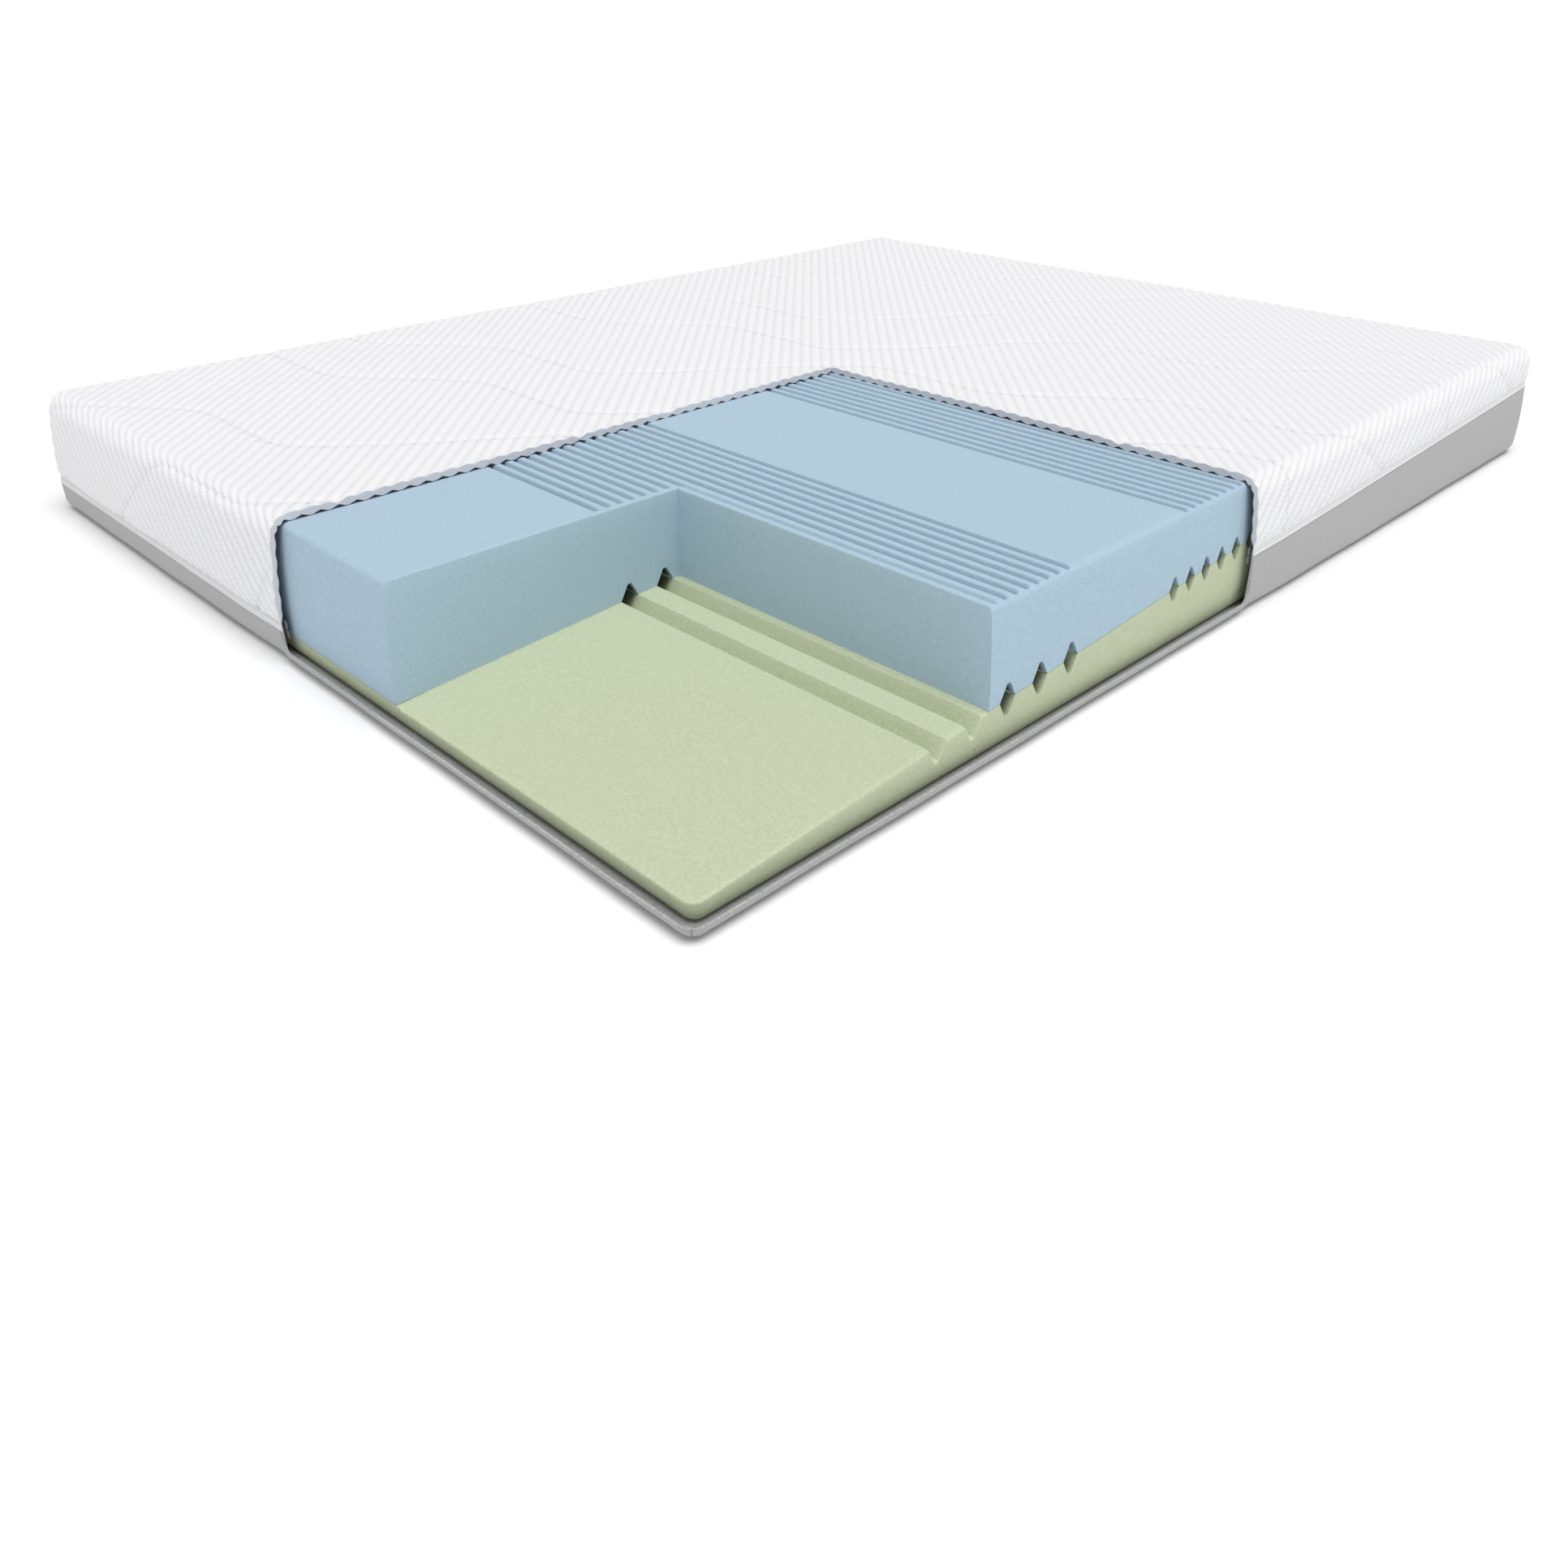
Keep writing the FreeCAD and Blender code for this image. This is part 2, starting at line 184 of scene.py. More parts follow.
# ---- materials ----
class Nodes:
    """Short calls for building one material's node tree."""

    def __init__(self, name, roughness, **sockets):
        self.material = bpy.data.materials.new(name)
        self.material.use_nodes = True
        self.tree = self.material.node_tree
        self.shader = self.tree.nodes["Principled BSDF"]
        self.shader.inputs["Roughness"].default_value = roughness
        for key, value in sockets.items():
            self.shader.inputs[key.replace("_", " ")].default_value = value

    def node(self, kind, links=None, **settings):
        made = self.tree.nodes.new(kind)
        for key, value in settings.items():
            if hasattr(made, key):
                setattr(made, key, value)
            else:
                made.inputs[key.replace("_", " ")].default_value = value
        for socket, source in (links or {}).items():
            self.tree.links.new(source, made.inputs[socket])
        return made

    def math(self, operation, a, b=0.0, c=0.0):
        made = self.tree.nodes.new("ShaderNodeMath")
        made.operation = operation
        for socket, value in zip(made.inputs, (a, b, c)):
            if isinstance(value, (int, float)):
                socket.default_value = value
            else:
                self.tree.links.new(value, socket)
        return made.outputs[0]

    def mix(self, factor, a, b):
        """A colour between two colours, or between a colour and an earlier mix."""
        made = self.tree.nodes.new("ShaderNodeMix")
        made.data_type = "RGBA"
        self.tree.links.new(factor, made.inputs["Factor"])
        for socket, value in ((made.inputs[6], a), (made.inputs[7], b)):
            if isinstance(value, tuple):
                socket.default_value = (*value, 1.0)
            else:
                self.tree.links.new(value, socket)
        return made.outputs[2]

    def noise(self, vector, scale, detail=3.0, roughness=0.55):
        made = self.node("ShaderNodeTexNoise", {"Vector": vector}, Scale=scale, Detail=detail)
        made.inputs["Roughness"].default_value = roughness
        return made.outputs["Fac"]

    def ramp(self, value, low, high):
        made = self.node("ShaderNodeMapRange", {"Value": value}, interpolation_type="SMOOTHSTEP")
        made.inputs["From Min"].default_value = low
        made.inputs["From Max"].default_value = high
        return made.outputs["Result"]

    def stretched(self, vector, scale, turn=0.0):
        made = self.node("ShaderNodeMapping", {"Vector": vector})
        made.inputs["Scale"].default_value = scale
        made.inputs["Rotation"].default_value = (0.0, 0.0, math.radians(turn))
        return made.outputs["Vector"]

    def place(self):
        return self.node("ShaderNodeTexCoord").outputs["Object"]

    def cloth(self):
        return self.node("ShaderNodeAttribute", attribute_name="cloth").outputs["Vector"]

    def finish(self, colour, height=None, distance=0.001, strength=1.0):
        self.tree.links.new(colour, self.shader.inputs["Base Color"])
        if height is not None:
            bump = self.node("ShaderNodeBump", {"Height": height}, Distance=distance, Strength=strength)
            self.tree.links.new(bump.outputs["Normal"], self.shader.inputs["Normal"])
        return self.material


def knit_material():
    """White double-jersey knit: short blisters along each diagonal rib, over fine loops, with painted shade
    in the rib valleys and quilting lines and lighter blister crests as painted relief shading.
    """
    n = Nodes("knit", 0.86, Sheen_Weight=0.12, Sheen_Roughness=0.5, Specular_IOR_Level=0.25)
    stored = n.cloth()
    # The stored third number is painted shade: how far down into a rib valley or quilting line each vertex
    # lies.
    valley = n.node("ShaderNodeSeparateXYZ", {"Vector": stored}).outputs["Z"]
    cloth = n.stretched(stored, (1.0, 1.0, 0.0))
    along = n.stretched(cloth, (1.0, 1.0, 1.0), 45.0)
    split = n.node("ShaderNodeSeparateXYZ", {"Vector": along})
    across_rib, along_rib = split.outputs["Y"], split.outputs["X"]
    rib = n.math("FLOOR", n.math("DIVIDE", across_rib, RIB_PITCH / 2))
    stagger = n.math("MULTIPLY", n.math("MODULO", rib, 2.0), 0.5)
    dash = n.math("ADD", n.math("DIVIDE", along_rib, 0.0085), stagger)
    wave = n.math("SINE", n.math("MULTIPLY", dash, 2 * math.pi))
    blister = n.ramp(wave, -0.7, 0.6)
    loops = n.noise(n.stretched(along, (900.0, 1500.0, 900.0)), 1.0, 2.0)
    worn = n.noise(cloth, 7.0, 4.0)
    height = n.math("ADD", n.math("MULTIPLY", blister, 0.5), n.math("MULTIPLY", loops, 0.5))
    # Painted shade: blister crests lighter than the hollows between them; the slow worn noise is random
    # tone.
    shade = n.mix(n.ramp(blister, 0.0, 1.0), (0.85, 0.85, 0.865), (0.90, 0.90, 0.905))
    shade = n.mix(n.math("MULTIPLY", n.ramp(worn, 0.35, 0.75), 0.4), shade, (0.87, 0.868, 0.872))
    # Painted shade: darker down in the rib valleys and along the quilting lines.
    colour = n.mix(n.ramp(valley, 0.0, 1.2), shade, (0.79, 0.79, 0.808))
    return n.finish(colour, height, 0.0006, 0.8)


def wadding_material():
    """Soft grey-white fibre filling at the cut."""
    n = Nodes("wadding", 0.95, Sheen_Weight=0.1)
    fibre = n.noise(n.stretched(n.place(), (900.0, 900.0, 2600.0)), 1.0, 4.0, 0.7)
    clumps = n.noise(n.place(), 120.0, 3.0)
    colour = n.mix(fibre, (0.68, 0.68, 0.73), (0.86, 0.86, 0.90))
    return n.finish(n.mix(n.ramp(clumps, 0.3, 0.8), colour, (0.76, 0.76, 0.80)), fibre, 0.0008)


def backing_material():
    """Thin dark grey non-woven backing."""
    n = Nodes("backing", 0.8, Specular_IOR_Level=0.3)
    web = n.noise(n.place(), 700.0, 4.0, 0.7)
    return n.finish(n.mix(web, (0.09, 0.10, 0.13), (0.17, 0.18, 0.22)), web, 0.0004)


def plain_weave_material(name, light, dark, scale=1.0):
    """A flat woven or tape fabric with fine threads both ways."""
    n = Nodes(name, 0.82, Sheen_Weight=0.08, Specular_IOR_Level=0.25)
    cloth = n.cloth()
    split = n.node("ShaderNodeSeparateXYZ", {"Vector": cloth})
    warp = n.math("SINE", n.math("MULTIPLY", split.outputs["X"], 5200.0 * scale))
    weft = n.math("SINE", n.math("MULTIPLY", split.outputs["Y"], 5200.0 * scale))
    weave = n.math("MULTIPLY_ADD", n.math("MULTIPLY", warp, weft), 0.5, 0.5)
    slub = n.noise(n.stretched(cloth, (60.0, 900.0, 60.0)), 1.0, 3.0)
    colour = n.mix(n.math("MULTIPLY", weave, slub), dark, light)
    return n.finish(colour, weave, 0.0003, 0.6)


def border_material():
    """Grey melange fabric: pale and dark threads mixed, with short slubs along the strip."""
    n = Nodes("border_fabric", 0.9, Sheen_Weight=0.15, Sheen_Roughness=0.6, Specular_IOR_Level=0.2)
    cloth = n.cloth()
    flecks = n.noise(n.stretched(cloth, (260.0, 900.0, 260.0)), 1.0, 5.0, 0.75)
    threads = n.noise(n.stretched(cloth, (2400.0, 700.0, 700.0)), 1.0, 2.0, 0.6)
    broad = n.noise(cloth, 14.0, 3.0)
    melange = n.math("MULTIPLY_ADD", n.math("ADD", flecks, threads), 0.5, 0.0)
    colour = n.mix(n.ramp(melange, 0.36, 0.64), (0.31, 0.308, 0.315), (0.60, 0.598, 0.60))
    colour = n.mix(n.math("MULTIPLY", n.ramp(broad, 0.3, 0.8), 0.25), colour, (0.50, 0.495, 0.49))
    return n.finish(colour, n.math("ADD", melange, threads), 0.0005, 0.8)


def foam_material(name, low, middle, high, deep):
    """Open-cell foam: fine pores over a faint cloudy tint, with painted shade darkening it down in its
    grooves and ducts.
    """
    n = Nodes(name, 0.92, Specular_IOR_Level=0.2, Sheen_Weight=0.05)
    place = n.place()
    cells = n.node("ShaderNodeTexVoronoi", {"Vector": place}, Scale=620.0)
    pores = n.ramp(cells.outputs["Distance"], 0.15, 0.62)
    grain = n.noise(place, 240.0, 4.0, 0.7)
    cloud = n.noise(place, 9.0, 4.0, 0.6)
    colour = n.mix(n.ramp(grain, 0.30, 0.70), low, high)
    colour = n.mix(n.math("MULTIPLY", n.ramp(cloud, 0.25, 0.75), 0.5), colour, middle)
    # Painted shade: a per-vertex amount darkens grooves and ducts towards the last colour given.
    painted_cavity_shade = n.node("ShaderNodeAttribute", attribute_name="painted_cavity_shade").outputs["Fac"]
    colour = n.mix(painted_cavity_shade, colour, deep)
    height = n.math("ADD", n.math("MULTIPLY", pores, -0.6), grain)
    return n.finish(colour, height, 0.0007, 0.55)


def thread_material(name, colour_a, colour_b):
    """Twisted polyester thread."""
    n = Nodes(name, 0.55, Sheen_Weight=0.1)
    twist = n.noise(n.stretched(n.place(), (1500.0, 1500.0, 900.0)), 1.0, 2.0)
    return n.finish(n.mix(twist, colour_a, colour_b), twist, 0.0002)


def nylon_material():
    """The zip's moulded nylon coil."""
    n = Nodes("zip_coil", 0.38)
    haze = n.noise(n.place(), 400.0, 3.0)
    return n.finish(n.mix(haze, (0.30, 0.30, 0.31), (0.42, 0.42, 0.43)), haze, 0.0001)


def metal_material():
    """Nickel-plated zinc, slightly brushed and rubbed."""
    n = Nodes("zip_metal", 0.3, Metallic=1.0)
    brushed = n.noise(n.stretched(n.place(), (300.0, 3000.0, 3000.0)), 1.0, 3.0)
    rubbed = n.noise(n.place(), 260.0, 3.0)
    n.tree.links.new(n.math("MULTIPLY_ADD", rubbed, 0.25, 0.2), n.shader.inputs["Roughness"])
    return n.finish(n.mix(brushed, (0.55, 0.55, 0.56), (0.72, 0.72, 0.73)), brushed, 0.00005)


def adhesive_material():
    """A thin, slightly glossy film of glue."""
    n = Nodes("adhesive", 0.45)
    blotch = n.noise(n.place(), 90.0, 3.0)
    return n.finish(n.mix(blotch, (0.62, 0.64, 0.50), (0.70, 0.72, 0.62)), blotch, 0.0002)


def make_materials():
    return {
        "cover_knit": knit_material(),
        "wadding": wadding_material(),
        "backing": backing_material(),
        "thread": thread_material("thread", (0.70, 0.70, 0.71), (0.84, 0.84, 0.84)),
        "placket": plain_weave_material("placket_fabric", (0.88, 0.88, 0.885), (0.74, 0.74, 0.75)),
        "border_fabric": border_material(),
        "zip_tape": plain_weave_material("zip_tape", (0.40, 0.40, 0.41), (0.26, 0.26, 0.27)),
        "zip_coil": nylon_material(),
        "zip_metal": metal_material(),
        # Each foam's last colour is the painted shade laid into its grooves and ducts.
        "memory_foam": foam_material(
            "memory_foam",
            (0.385, 0.525, 0.640),
            (0.43, 0.57, 0.68),
            (0.465, 0.605, 0.715),
            (0.03, 0.05, 0.08),
        ),
        "support_foam": foam_material(
            "support_foam",
            (0.505, 0.565, 0.375),
            (0.55, 0.61, 0.42),
            (0.60, 0.655, 0.465),
            (0.07, 0.09, 0.04),
        ),
        "adhesive": adhesive_material(),
    }


# ---- the cover's shape ----
def bulge(z):
    """How far the sides lean in above and below their widest height."""
    below = np.clip((WIDEST_Z - z) / WIDEST_Z, 0, None) ** 2 * BULGE_LOW
    above = np.clip((z - WIDEST_Z) / (HEIGHT - WIDEST_Z), 0, None) ** 2 * BULGE_HIGH
    return below + above


def on_cover(box_points, depth):
    """Places points of a plain box on the cover's rounded form, at a depth under its outer face."""
    low = np.array([-HALF_W + EDGE_R, -HALF_L + EDGE_R, -1.0])
    high = np.array([HALF_W - EDGE_R, HALF_L - EDGE_R, HEIGHT - EDGE_R])
    core = np.clip(box_points, low, high)
    out = box_points - core
    out /= np.linalg.norm(out, axis=1)[:, None]
    placed = core + out * (EDGE_R - depth)[:, None]
    placed[:, :2] -= out[:, :2] * bulge(placed[:, 2])[:, None]
    return placed, out


def wave_height(x):
    """The first quilting wave: level treads joined by steep rises."""
    span = sum(t[0] for t in WAVE_TREADS)
    rise = sum(t[1] for t in WAVE_TREADS)
    turns = np.floor((x - WAVE_START[0]) / span)
    along = x - WAVE_START[0] - turns * span
    first, second = WAVE_TREADS
    step_a = smooth((along / first[0] - 0.5) * WAVE_STEEPNESS + 0.5) * first[1]
    step_b = smooth(((along - first[0]) / second[0] - 0.5) * WAVE_STEEPNESS + 0.5) * second[1]
    return WAVE_START[1] + turns * rise + step_a + step_b


def wave_lines():
    """Every quilting line, as the shift in x and y from the first one."""
    for family in (0, 1):
        for k in range(-4, 5):
            yield WAVE_SHIFT[0] * family, WAVE_SHIFT[1] * family + WAVE_REPEAT * k


def quilting(flat):
    """From 0 to 1, how close places on the flat cloth are to a quilting line."""
    nearest = np.full(len(flat), 9.0)
    step = 0.001
    for shift_x, shift_y in wave_lines():
        x = flat[:, 0] - shift_x
        height = wave_height(x)
        slope = (wave_height(x + step) - height) / step
        away = np.abs(flat[:, 1] - shift_y - height) / np.sqrt(1 + slope**2)
        nearest = np.minimum(nearest, away)
    return np.exp(-((nearest / WAVE_WIDTH) ** 2))


def hem_z(y):
    return seam_z(y) + HEM_ABOVE_SEAM


class CoverGrid:
    """The upper cover's grid: over the top, down the sides to the hem, without the cut quarter.

    columns_x, columns_y and rows choose which of the grid's lines are made: hidden layers are
    coarser.
    """

    def __init__(self, columns_x, columns_y, rows):
        self.columns_x, self.columns_y, self.rows = list(columns_x), list(columns_y), list(rows)
        self.keys, self.box, self.flat, self.phase = {}, [], [], []
        self.faces = []
        self.add_top()
        self.add_sides()
        self.box, self.flat = np.array(self.box), np.array(self.flat)
        self.phase = np.array(self.phase)

    def vertex(self, key, box_point, flat_place, phase):
        if key not in self.keys:
            self.keys[key] = len(self.box)
            self.box.append(box_point)
            self.flat.append(flat_place)
            self.phase.append(phase)
        return self.keys[key]

    def top_vertex(self, i, j):
        x, y = -HALF_W + i * CELL[0], -HALF_L + j * CELL[1]
        return self.vertex((i, j, 0), (x, y, HEIGHT), (x, y), i + j)

    def add_top(self):
        for i0, i1 in zip(self.columns_x, self.columns_x[1:]):
            for j0, j1 in zip(self.columns_y, self.columns_y[1:]):
                if i0 >= CUT_I and j0 < CUT_J:
                    continue
                corners = [(i0, j0), (i1, j0), (i1, j1), (i0, j1)]
                a, b, c, d = [self.top_vertex(*corner) for corner in corners]
                self.faces += [[a, b, d], [b, c, d]]

    def outline(self):
        """The columns down the sides: from the cut at the foot end round to the cut at the right side."""
        left = [i for i in self.columns_x if i <= CUT_I][::-1]
        around = [(i, 0) for i in left]
        around += [(0, j) for j in self.columns_y[1:]]
        around += [(i, CELLS_Y) for i in self.columns_x[1:]]
        around += [(CELLS_X, j) for j in self.columns_y[::-1][1:] if j >= CUT_J]
        return around

    def side_vertex(self, i, j, row):
        """A vertex on a side. Rows below the hem all give the hem's own vertex."""
        if row == 0:
            return self.top_vertex(i, j)
        x, y = -HALF_W + i * CELL[0], -HALF_L + j * CELL[1]
        hem = hem_z(y)
        at_hem = HEIGHT - row * SIDE_CELL <= hem + 0.0006
        depth = (HEIGHT - hem) / SIDE_CELL if at_hem else row
        across = -depth if i == 0 else depth if i == CELLS_X else 0.0
        along = -depth if j == 0 else depth if j == CELLS_Y else 0.0
        phase = i + j + (across + along if not (across and along) else across)
        flat = (x + across * SIDE_CELL, y + along * SIDE_CELL)
        key = (i, j, "hem" if at_hem else row)
        return self.vertex(key, (x, y, HEIGHT - depth * SIDE_CELL), flat, phase)

    def add_sides(self):
        around = self.outline()
        for first, second in zip(around, around[1:]):
            for top, bottom in zip(self.rows, self.rows[1:]):
                quad = [
                    self.side_vertex(*first, top),
                    self.side_vertex(*first, bottom),
                    self.side_vertex(*second, bottom),
                    self.side_vertex(*second, top),
                ]
                kept = [v for k, v in enumerate(quad) if v != quad[k - 1]]
                if len(kept) == 4:
                    self.faces += self.split_along_rib(kept)
                elif len(kept) == 3:
                    self.faces.append(kept)

    def split_along_rib(self, quad):
        """Two triangles whose shared side runs with the ribs, so that no rib is broken into steps."""
        a, b, c, d = quad
        if abs(self.phase[a] - self.phase[c]) < abs(self.phase[b] - self.phase[d]):
            return [[a, b, c], [a, c, d]]
        return [[a, b, d], [b, c, d]]

    def rim(self):
        """The keys along the free edge: the cut over the top, the hem, and the cut on the other side."""
        around = self.outline()
        path = [(CUT_I, j, 0) for j in self.columns_y[::-1] if j <= CUT_J]
        for end in (0, -1):
            column = [(*around[end], row) for row in self.rows[1:] if (*around[end], row) in self.keys]
            if end == 0:
                path += column + [(*place, "hem") for place in around]
            else:
                path += column[::-1]
        path += [(i, CUT_J, 0) for i in self.columns_x[::-1] if i >= CUT_I]
        return path


def rib_valley(phase):
    """How deep the knit lies at a place across the ribs, from 0 on a crest to 1 in a valley."""
    at = np.mod(phase, RIB_CELLS)
    return np.interp(at, np.arange(RIB_CELLS + 1), np.append(RIB_SHAPE, RIB_SHAPE[0]))


def top_share(grid):
    """1 on the flat top, 0 on the sides."""
    core = np.clip(grid.box[:, 2], None, HEIGHT - EDGE_R)
    up = grid.box[:, 2] - core
    side = np.maximum(
        np.abs(grid.box[:, 0]) - HALF_W + EDGE_R, np.abs(grid.box[:, 1]) - HALF_L + EDGE_R
    )
    return smooth(up / (up + np.clip(side, 0, None) + 1e-9))


def cut_curl(grid, share):
    """The sides draw in a little where the cover is cut."""
    x, y = grid.box[:, 0], grid.box[:, 1]
    from_cut = np.where(y < -HALF_L + EDGE_R, -x, np.where(x > HALF_W - EDGE_R, y, 1.0))
    return CUT_CURL * np.exp(-((from_cut / CUT_CURL_REACH) ** 2)) * (1 - share)


def hem_pull(grid):
    """The quilt thins to its sewn edge, with small gathers along the stitch line."""
    above = grid.box[:, 2] - hem_z(grid.box[:, 1])
    run = grid.box[:, 0] + grid.box[:, 1]
    gathers = 0.5 + 0.3 * np.sin(run * 2 * math.pi / 0.031) + 0.2 * np.sin(run * 2 * math.pi / 0.0187)
    thin = 0.0032 * (1 - smooth(above / HEM_TAPER))
    return thin + 0.0009 * gathers * (1 - smooth(above / 0.034)) * smooth(above / 0.004)


def lie(flat):
    """Slow undulation of the padded cloth."""
    x, y = flat[:, 0], flat[:, 1]
    slow = np.sin(9.1 * x + 3.3 * y + 0.6) * np.sin(7.3 * y - 2.1 * x + 1.7)
    quick = np.sin(23.0 * x - 11.0 * y) * np.sin(19.0 * y + 13.0 * x + 0.4)
    return 0.0007 * slow + 0.0004 * quick


def knit_depth(grid):
    """Depth of the knit's outer face under the cover's envelope."""
    share = top_share(grid)
    depth = RIB_DEPTH * rib_valley(grid.phase) * (0.75 + 0.25 * share)
    fade = smooth((grid.box[:, 2] - hem_z(grid.box[:, 1])) / 0.012)
    wave_share = WAVE_SIDE_SHARE + (1 - WAVE_SIDE_SHARE) * share
    depth = depth * (0.25 + 0.75 * fade) + WAVE_DEPTH * quilting(grid.flat) * wave_share
    return depth + cut_curl(grid, share) + hem_pull(grid) + KNIT_REST + lie(grid.flat)


def inside_depth(grid, rim, side, top, ribbed, edge):
    """Depth of a hidden face. Only along the cut does it follow the ribs; elsewhere it lies evenly."""
    share = top_share(grid)
    depth = side + (top - side) * share + cut_curl(grid, share) + lie(grid.flat)
    above = grid.box[:, 2] - hem_z(grid.box[:, 1])
    depth = depth - (side - HEM_DEPTH) * (1 - smooth(above / HEM_TAPER)) * (1 - share) * edge
    on_rim = np.zeros(len(grid.box), bool)
    on_rim[[grid.keys[key] for key in rim]] = True
    return np.where(on_rim, depth + ribbed, depth)


def bridge(outer, inner, outer_rim, inner_rim, offset):
    """Faces between two layers' free edges, where the inner one has fewer vertices."""
    shared = set(inner_rim)
    inner_at = {key: offset + inner.keys[key] for key in inner_rim}
    marks = [k for k, key in enumerate(outer_rim) if key in shared]
    faces = []
    closed = marks + [marks[0] + len(outer_rim)]
    for start, end in zip(closed, closed[1:]):
        run = [outer_rim[k % len(outer_rim)] for k in range(start, end + 1)]
        strip = [outer.keys[key] for key in run]
        faces.append(strip[::-1] + [inner_at[run[0]], inner_at[run[-1]]])
    return faces


def closed_rim(grid):
    """The rim's keys without repeats, as one closed loop."""
    seen, path = set(), []
    for key in grid.rim():
        if key not in seen:
            seen.add(key)
            path.append(key)
    return path


def shell_mesh(outer, outer_depth, inner, inner_depth):
    """A closed cloth layer between two grids, as points and faces."""
    outer_points, _ = on_cover(outer.box, outer_depth)
    inner_points, _ = on_cover(inner.box, inner_depth)
    offset = len(outer_points)
    inner_faces = [[offset + v for v in face[::-1]] for face in inner.faces]
    rim_faces = bridge(outer, inner, closed_rim(outer), closed_rim(inner), offset)
    points = np.vstack([outer_points, inner_points])
    return points, outer.faces + inner_faces + rim_faces


def lines_with_fine(count, cut, fine_below):
    """Grid lines that are all there on one side of the cut and sparse on the other."""
    near = 4
    keep = set(range(0, count + 1, 10)) | {0, count} | set(range(cut - near, cut + near + 1))
    keep |= set(range(0, cut)) if fine_below else set(range(cut, count + 1))
    return sorted(keep)


def make_upper_cover(materials):
    rows = range(0, 31)
    outer = CoverGrid(range(CELLS_X + 1), range(CELLS_Y + 1), rows)
    columns_x = lines_with_fine(CELLS_X, CUT_I, False)
    columns_y = lines_with_fine(CELLS_Y, CUT_J, True)
    inner = CoverGrid(columns_x, columns_y, rows)
    rim = closed_rim(inner)
    outer_depth = knit_depth(outer)
    on_outer = {key: outer_depth[index] for key, index in outer.keys.items()}
    knit_inner = inside_depth(inner, rim, KNIT_SIDE, KNIT_TOP, 0.0, 0.0)
    for key in rim:
        knit_inner[inner.keys[key]] = on_outer[key] + KNIT_T
    scallop = SCALLOP * (1 - 2 * rib_valley(inner.phase)) * (0.4 + 0.6 * top_share(inner))
    wadding_inner = inside_depth(inner, rim, WADDING_SIDE, WADDING_TOP, scallop, 1.0)
    backing_inner = wadding_inner + BACKING_T

    points, faces = shell_mesh(outer, outer_depth, inner, knit_inner)
    knit = add_mesh("quilt_knit", points, faces, [materials["cover_knit"]], "top_cover")
    # Painted shade amount for the knit: deeper in rib valleys and, on top, along the quilting lines.
    valley_painted_shade = rib_valley(outer.phase) + 0.35 * quilting(outer.flat) * top_share(outer)
    outer_cloth = np.column_stack([outer.flat, valley_painted_shade])
    inner_cloth = np.column_stack([inner.flat, np.zeros(len(inner.flat))])
    set_cloth_coordinates(knit, np.vstack([outer_cloth, inner_cloth]))
    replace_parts(knit, "top_knit")

    points, faces = shell_mesh(inner, knit_inner + LAYER_GAP, inner, wadding_inner - LAYER_GAP)
    wadding = add_mesh("quilt_wadding", points, faces, [materials["wadding"]], "top_cover")
    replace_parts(wadding, "wadding")

    points, faces = shell_mesh(inner, wadding_inner, inner, backing_inner)
    backing = add_mesh("quilt_backing", points, faces, [materials["backing"]], "top_cover")
    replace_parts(backing, "backing")
    for piece in (knit, wadding, backing):
        sharpen(piece, 55)
    return knit


# ---- thread ----
def across(unit, helper):
    """Two directions square to each of a set of unit directions."""
    side = np.cross(unit, helper)
    side /= np.linalg.norm(side, axis=1)[:, None]
    return side, np.cross(unit, side)


def capsules(starts, ends, radius):
    """Short round-ended stitches between pairs of points, as one set of points and faces."""
    rings = np.array([0.0, 0.25, 0.75, 1.0])
    sizes = np.array([0.25, 1.0, 1.0, 0.25]) * radius
    along = ends - starts
    length = np.linalg.norm(along, axis=1)[:, None]
    side, up = across(along / length, (0.31, 0.17, 0.93))
    sides = 5
    angles = 2 * math.pi * np.arange(sides) / sides
    points = []
    for ring, size in zip(rings, sizes):
        for angle in angles:
            points.append(starts + along * ring + (side * math.cos(angle) + up * math.sin(angle)) * size)
    stacked = np.stack(points, axis=1).reshape(-1, 3)
    per = len(rings) * sides
    faces = []
    for s in range(len(starts)):
        base = s * per
        for r in range(len(rings) - 1):
            for a in range(sides):
                b = (a + 1) % sides
                low, high = base + r * sides, base + (r + 1) * sides
                faces.append([low + a, low + b, high + b, high + a])
        faces.append([base + a for a in range(sides)][::-1])
        faces.append([base + per - sides + a for a in range(sides)])
    return stacked, faces


def flat_to_box(flat):
    """Folds places on the flat cloth over the box's edges. Also says which are on the cover."""
    x, y = flat[:, 0], flat[:, 1]
    over_x, over_y = np.abs(x) - HALF_W, np.abs(y) - HALF_L
    down = np.clip(np.maximum(over_x, over_y), 0, None)
    box = np.column_stack([np.clip(x, -HALF_W, HALF_W), np.clip(y, -HALF_L, HALF_L), HEIGHT - down])
    kept = (np.minimum(over_x, over_y) < 0) & (box[:, 2] > hem_z(box[:, 1]) + 0.002)
    kept &= ~((box[:, 0] > -0.003) & (box[:, 1] < 0.003))
    return box, kept


